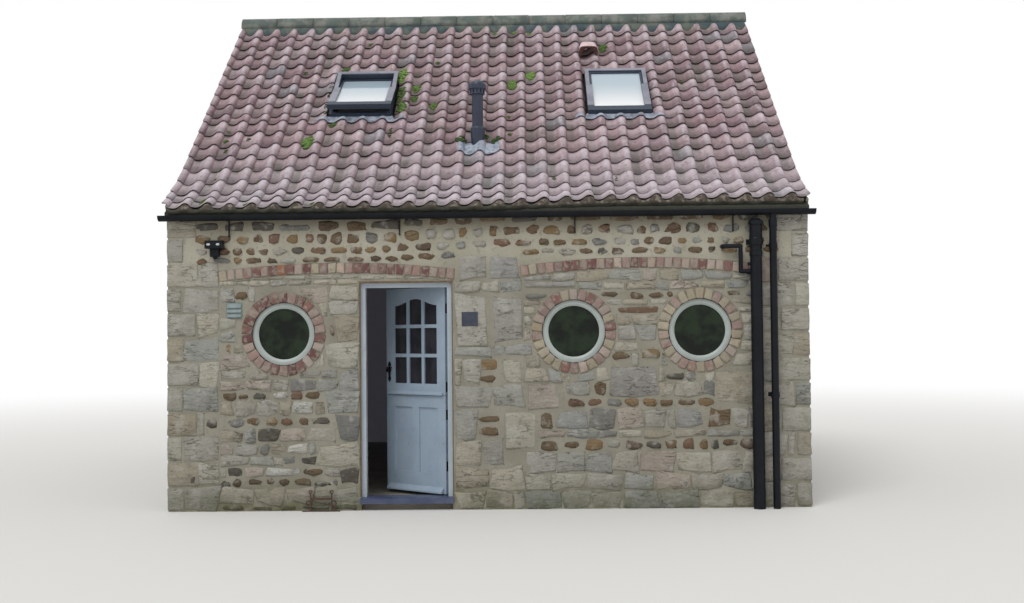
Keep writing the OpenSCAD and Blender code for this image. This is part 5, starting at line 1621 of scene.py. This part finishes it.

# %% [markdown]
# ## Moss
# Moss grows in the troughs where the rain lingers. A cushion of it is a handful of small balls,
# squashed onto the tile and roughened. Some cushions are brighter than others, and each ball is
# painted lighter on top and darker green below, as painted light and shade.

# %% Moss cushions, as X, distance up the slope, half width, half length and how bright
MOSS_SPOTS = [
    (-1.87, 1.36, 0.075, 0.120, 0.7), (-2.75, 1.60, 0.035, 0.050, 0.3), (-2.74, 1.41, 0.035, 0.050, 0.4),
    (-2.70, 1.21, 0.030, 0.045, 0.3), (-2.51, 1.45, 0.030, 0.040, 0.3), (-2.69, 0.66, 0.030, 0.045, 0.3),
    (-2.27, 0.60, 0.030, 0.045, 0.4), (-2.67, 0.83, 0.026, 0.040, 0.3), (-2.69, 0.13, 0.040, 0.060, 0.4),
    (-2.27, 0.05, 0.035, 0.050, 0.5), (-1.64, 0.05, 0.035, 0.050, 0.4), (-0.83, 2.50, 0.065, 0.100, 0.5),
    (-0.83, 2.27, 0.050, 0.080, 0.4), (-0.61, 2.10, 0.055, 0.080, 0.5), (-1.66, 2.97, 0.070, 0.050, 0.4),
    (0.449, 2.76, 0.066, 0.110, 0.9), (0.238, 2.55, 0.066, 0.120, 0.7), (0.22, 1.49, 0.030, 0.045, 0.4),
    (0.20, 1.84, 0.030, 0.045, 0.4), (1.300, 3.42, 0.060, 0.110, 0.4), (-0.04, 1.43, 0.045, 0.060, 0.3),
    (-1.000, 2.76, 0.062, 0.200, 1.0), (-0.980, 2.34, 0.052, 0.200, 0.35), (-0.955, 2.02, 0.055, 0.120, 0.6),
    (-1.77, 2.35, 0.024, 0.240, 0.0), (-1.765, 2.00, 0.030, 0.130, 0.0), (-1.665, 1.73, 0.050, 0.050, 0.3),
    (-1.873, 1.46, 0.045, 0.070, 0.5), (-0.285, 1.33, 0.055, 0.060, 0.1), (0.075, 1.34, 0.055, 0.060, 0.1),
    (0.251, 3.86, 0.040, 0.040, 1.0), (0.435, 3.83, 0.040, 0.035, 0.9), (1.253, 3.94, 0.040, 0.035, 1.0),
    (-1.04, 1.56, 0.030, 0.120, 0.1), (0.66, 0.62, 0.026, 0.120, 0.2), (1.27, 0.55, 0.026, 0.110, 0.2),
    (-2.12, 2.90, 0.035, 0.060, 0.2), (-0.62, 3.10, 0.040, 0.060, 0.3), (0.86, 3.30, 0.030, 0.050, 0.4),
    (-1.45, 3.60, 0.040, 0.060, 0.3), (2.12, 2.60, 0.030, 0.060, 0.2), (0.02, 3.85, 0.045, 0.030, 0.8),
]
print(len(MOSS_SPOTS), "cushions of moss")


# %% Balls of moss
BALLS_TO_A_SQUARE_METRE, LEAST_BALLS, BALL_FLAT = 6000, 6, 0.55
moss_random = np.random.default_rng(71)


def ball_pattern():
    bm = bmesh.new()
    bmesh.ops.create_icosphere(bm, subdivisions=2, radius=1.0)
    return pattern_of(bm)


ball_points, ball_faces = ball_pattern()
cushions = []
for x, s, across, along, bright in MOSS_SPOTS:
    for _ in range(round(BALLS_TO_A_SQUARE_METRE * across * along) + LEAST_BALLS):
        radius = min(across, along) * moss_random.uniform(0.25, 0.55)
        away, turn = math.sqrt(moss_random.random()), moss_random.uniform(0, math.tau)
        ball_x = x + away * math.cos(turn) * (across - radius * 0.6)
        ball_s = s + away * math.sin(turn) * (along - radius * 0.6)
        lumpy = 1 + moss_random.normal(0, 0.10, (len(ball_points), 1))
        shape = ball_points * (1, 1, BALL_FLAT) * radius * lumpy
        middle = slope_point(ball_x, ball_s, float(tile_top(ball_x)) + 0.008 + 0.010 * (1 - away))
        tint = varied(paint(72 + 58 * bright, 90 + 72 * bright, 56 + 34 * bright), moss_random, 0.10)
        # Painted light and shade: each ball is lighter on top and darker underneath.
        shaded_underside = np.clip(0.75 + 0.35 * ball_points[:, 2:], 0.4, 1.1)
        cushions.append((shape + middle, ball_faces, np.array(tint) * shaded_underside, moss_random.random()))
print(len(cushions), "balls of moss")

# %% Finish of the moss
moss_green = Finish("moss_green", Roughness=0.95, Specular_IOR_Level=0.1)
tuft = moss_green.noise(160.0, 5.0)
moss_green.coat(colour=moss_green.scaled(moss_green.read("tint", "Color"), 0.55 + 0.9 * tuft))
moss_green.bump(tuft, 0.010)
add_shapes("moss_cushions", cushions, moss_green)

# %% [markdown]
# ## Sizes
# The finished look stays within the frame's own size, apart from what stones, tiles and moss stand
# proud.

# %% Finish
print("the cottage is dressed")
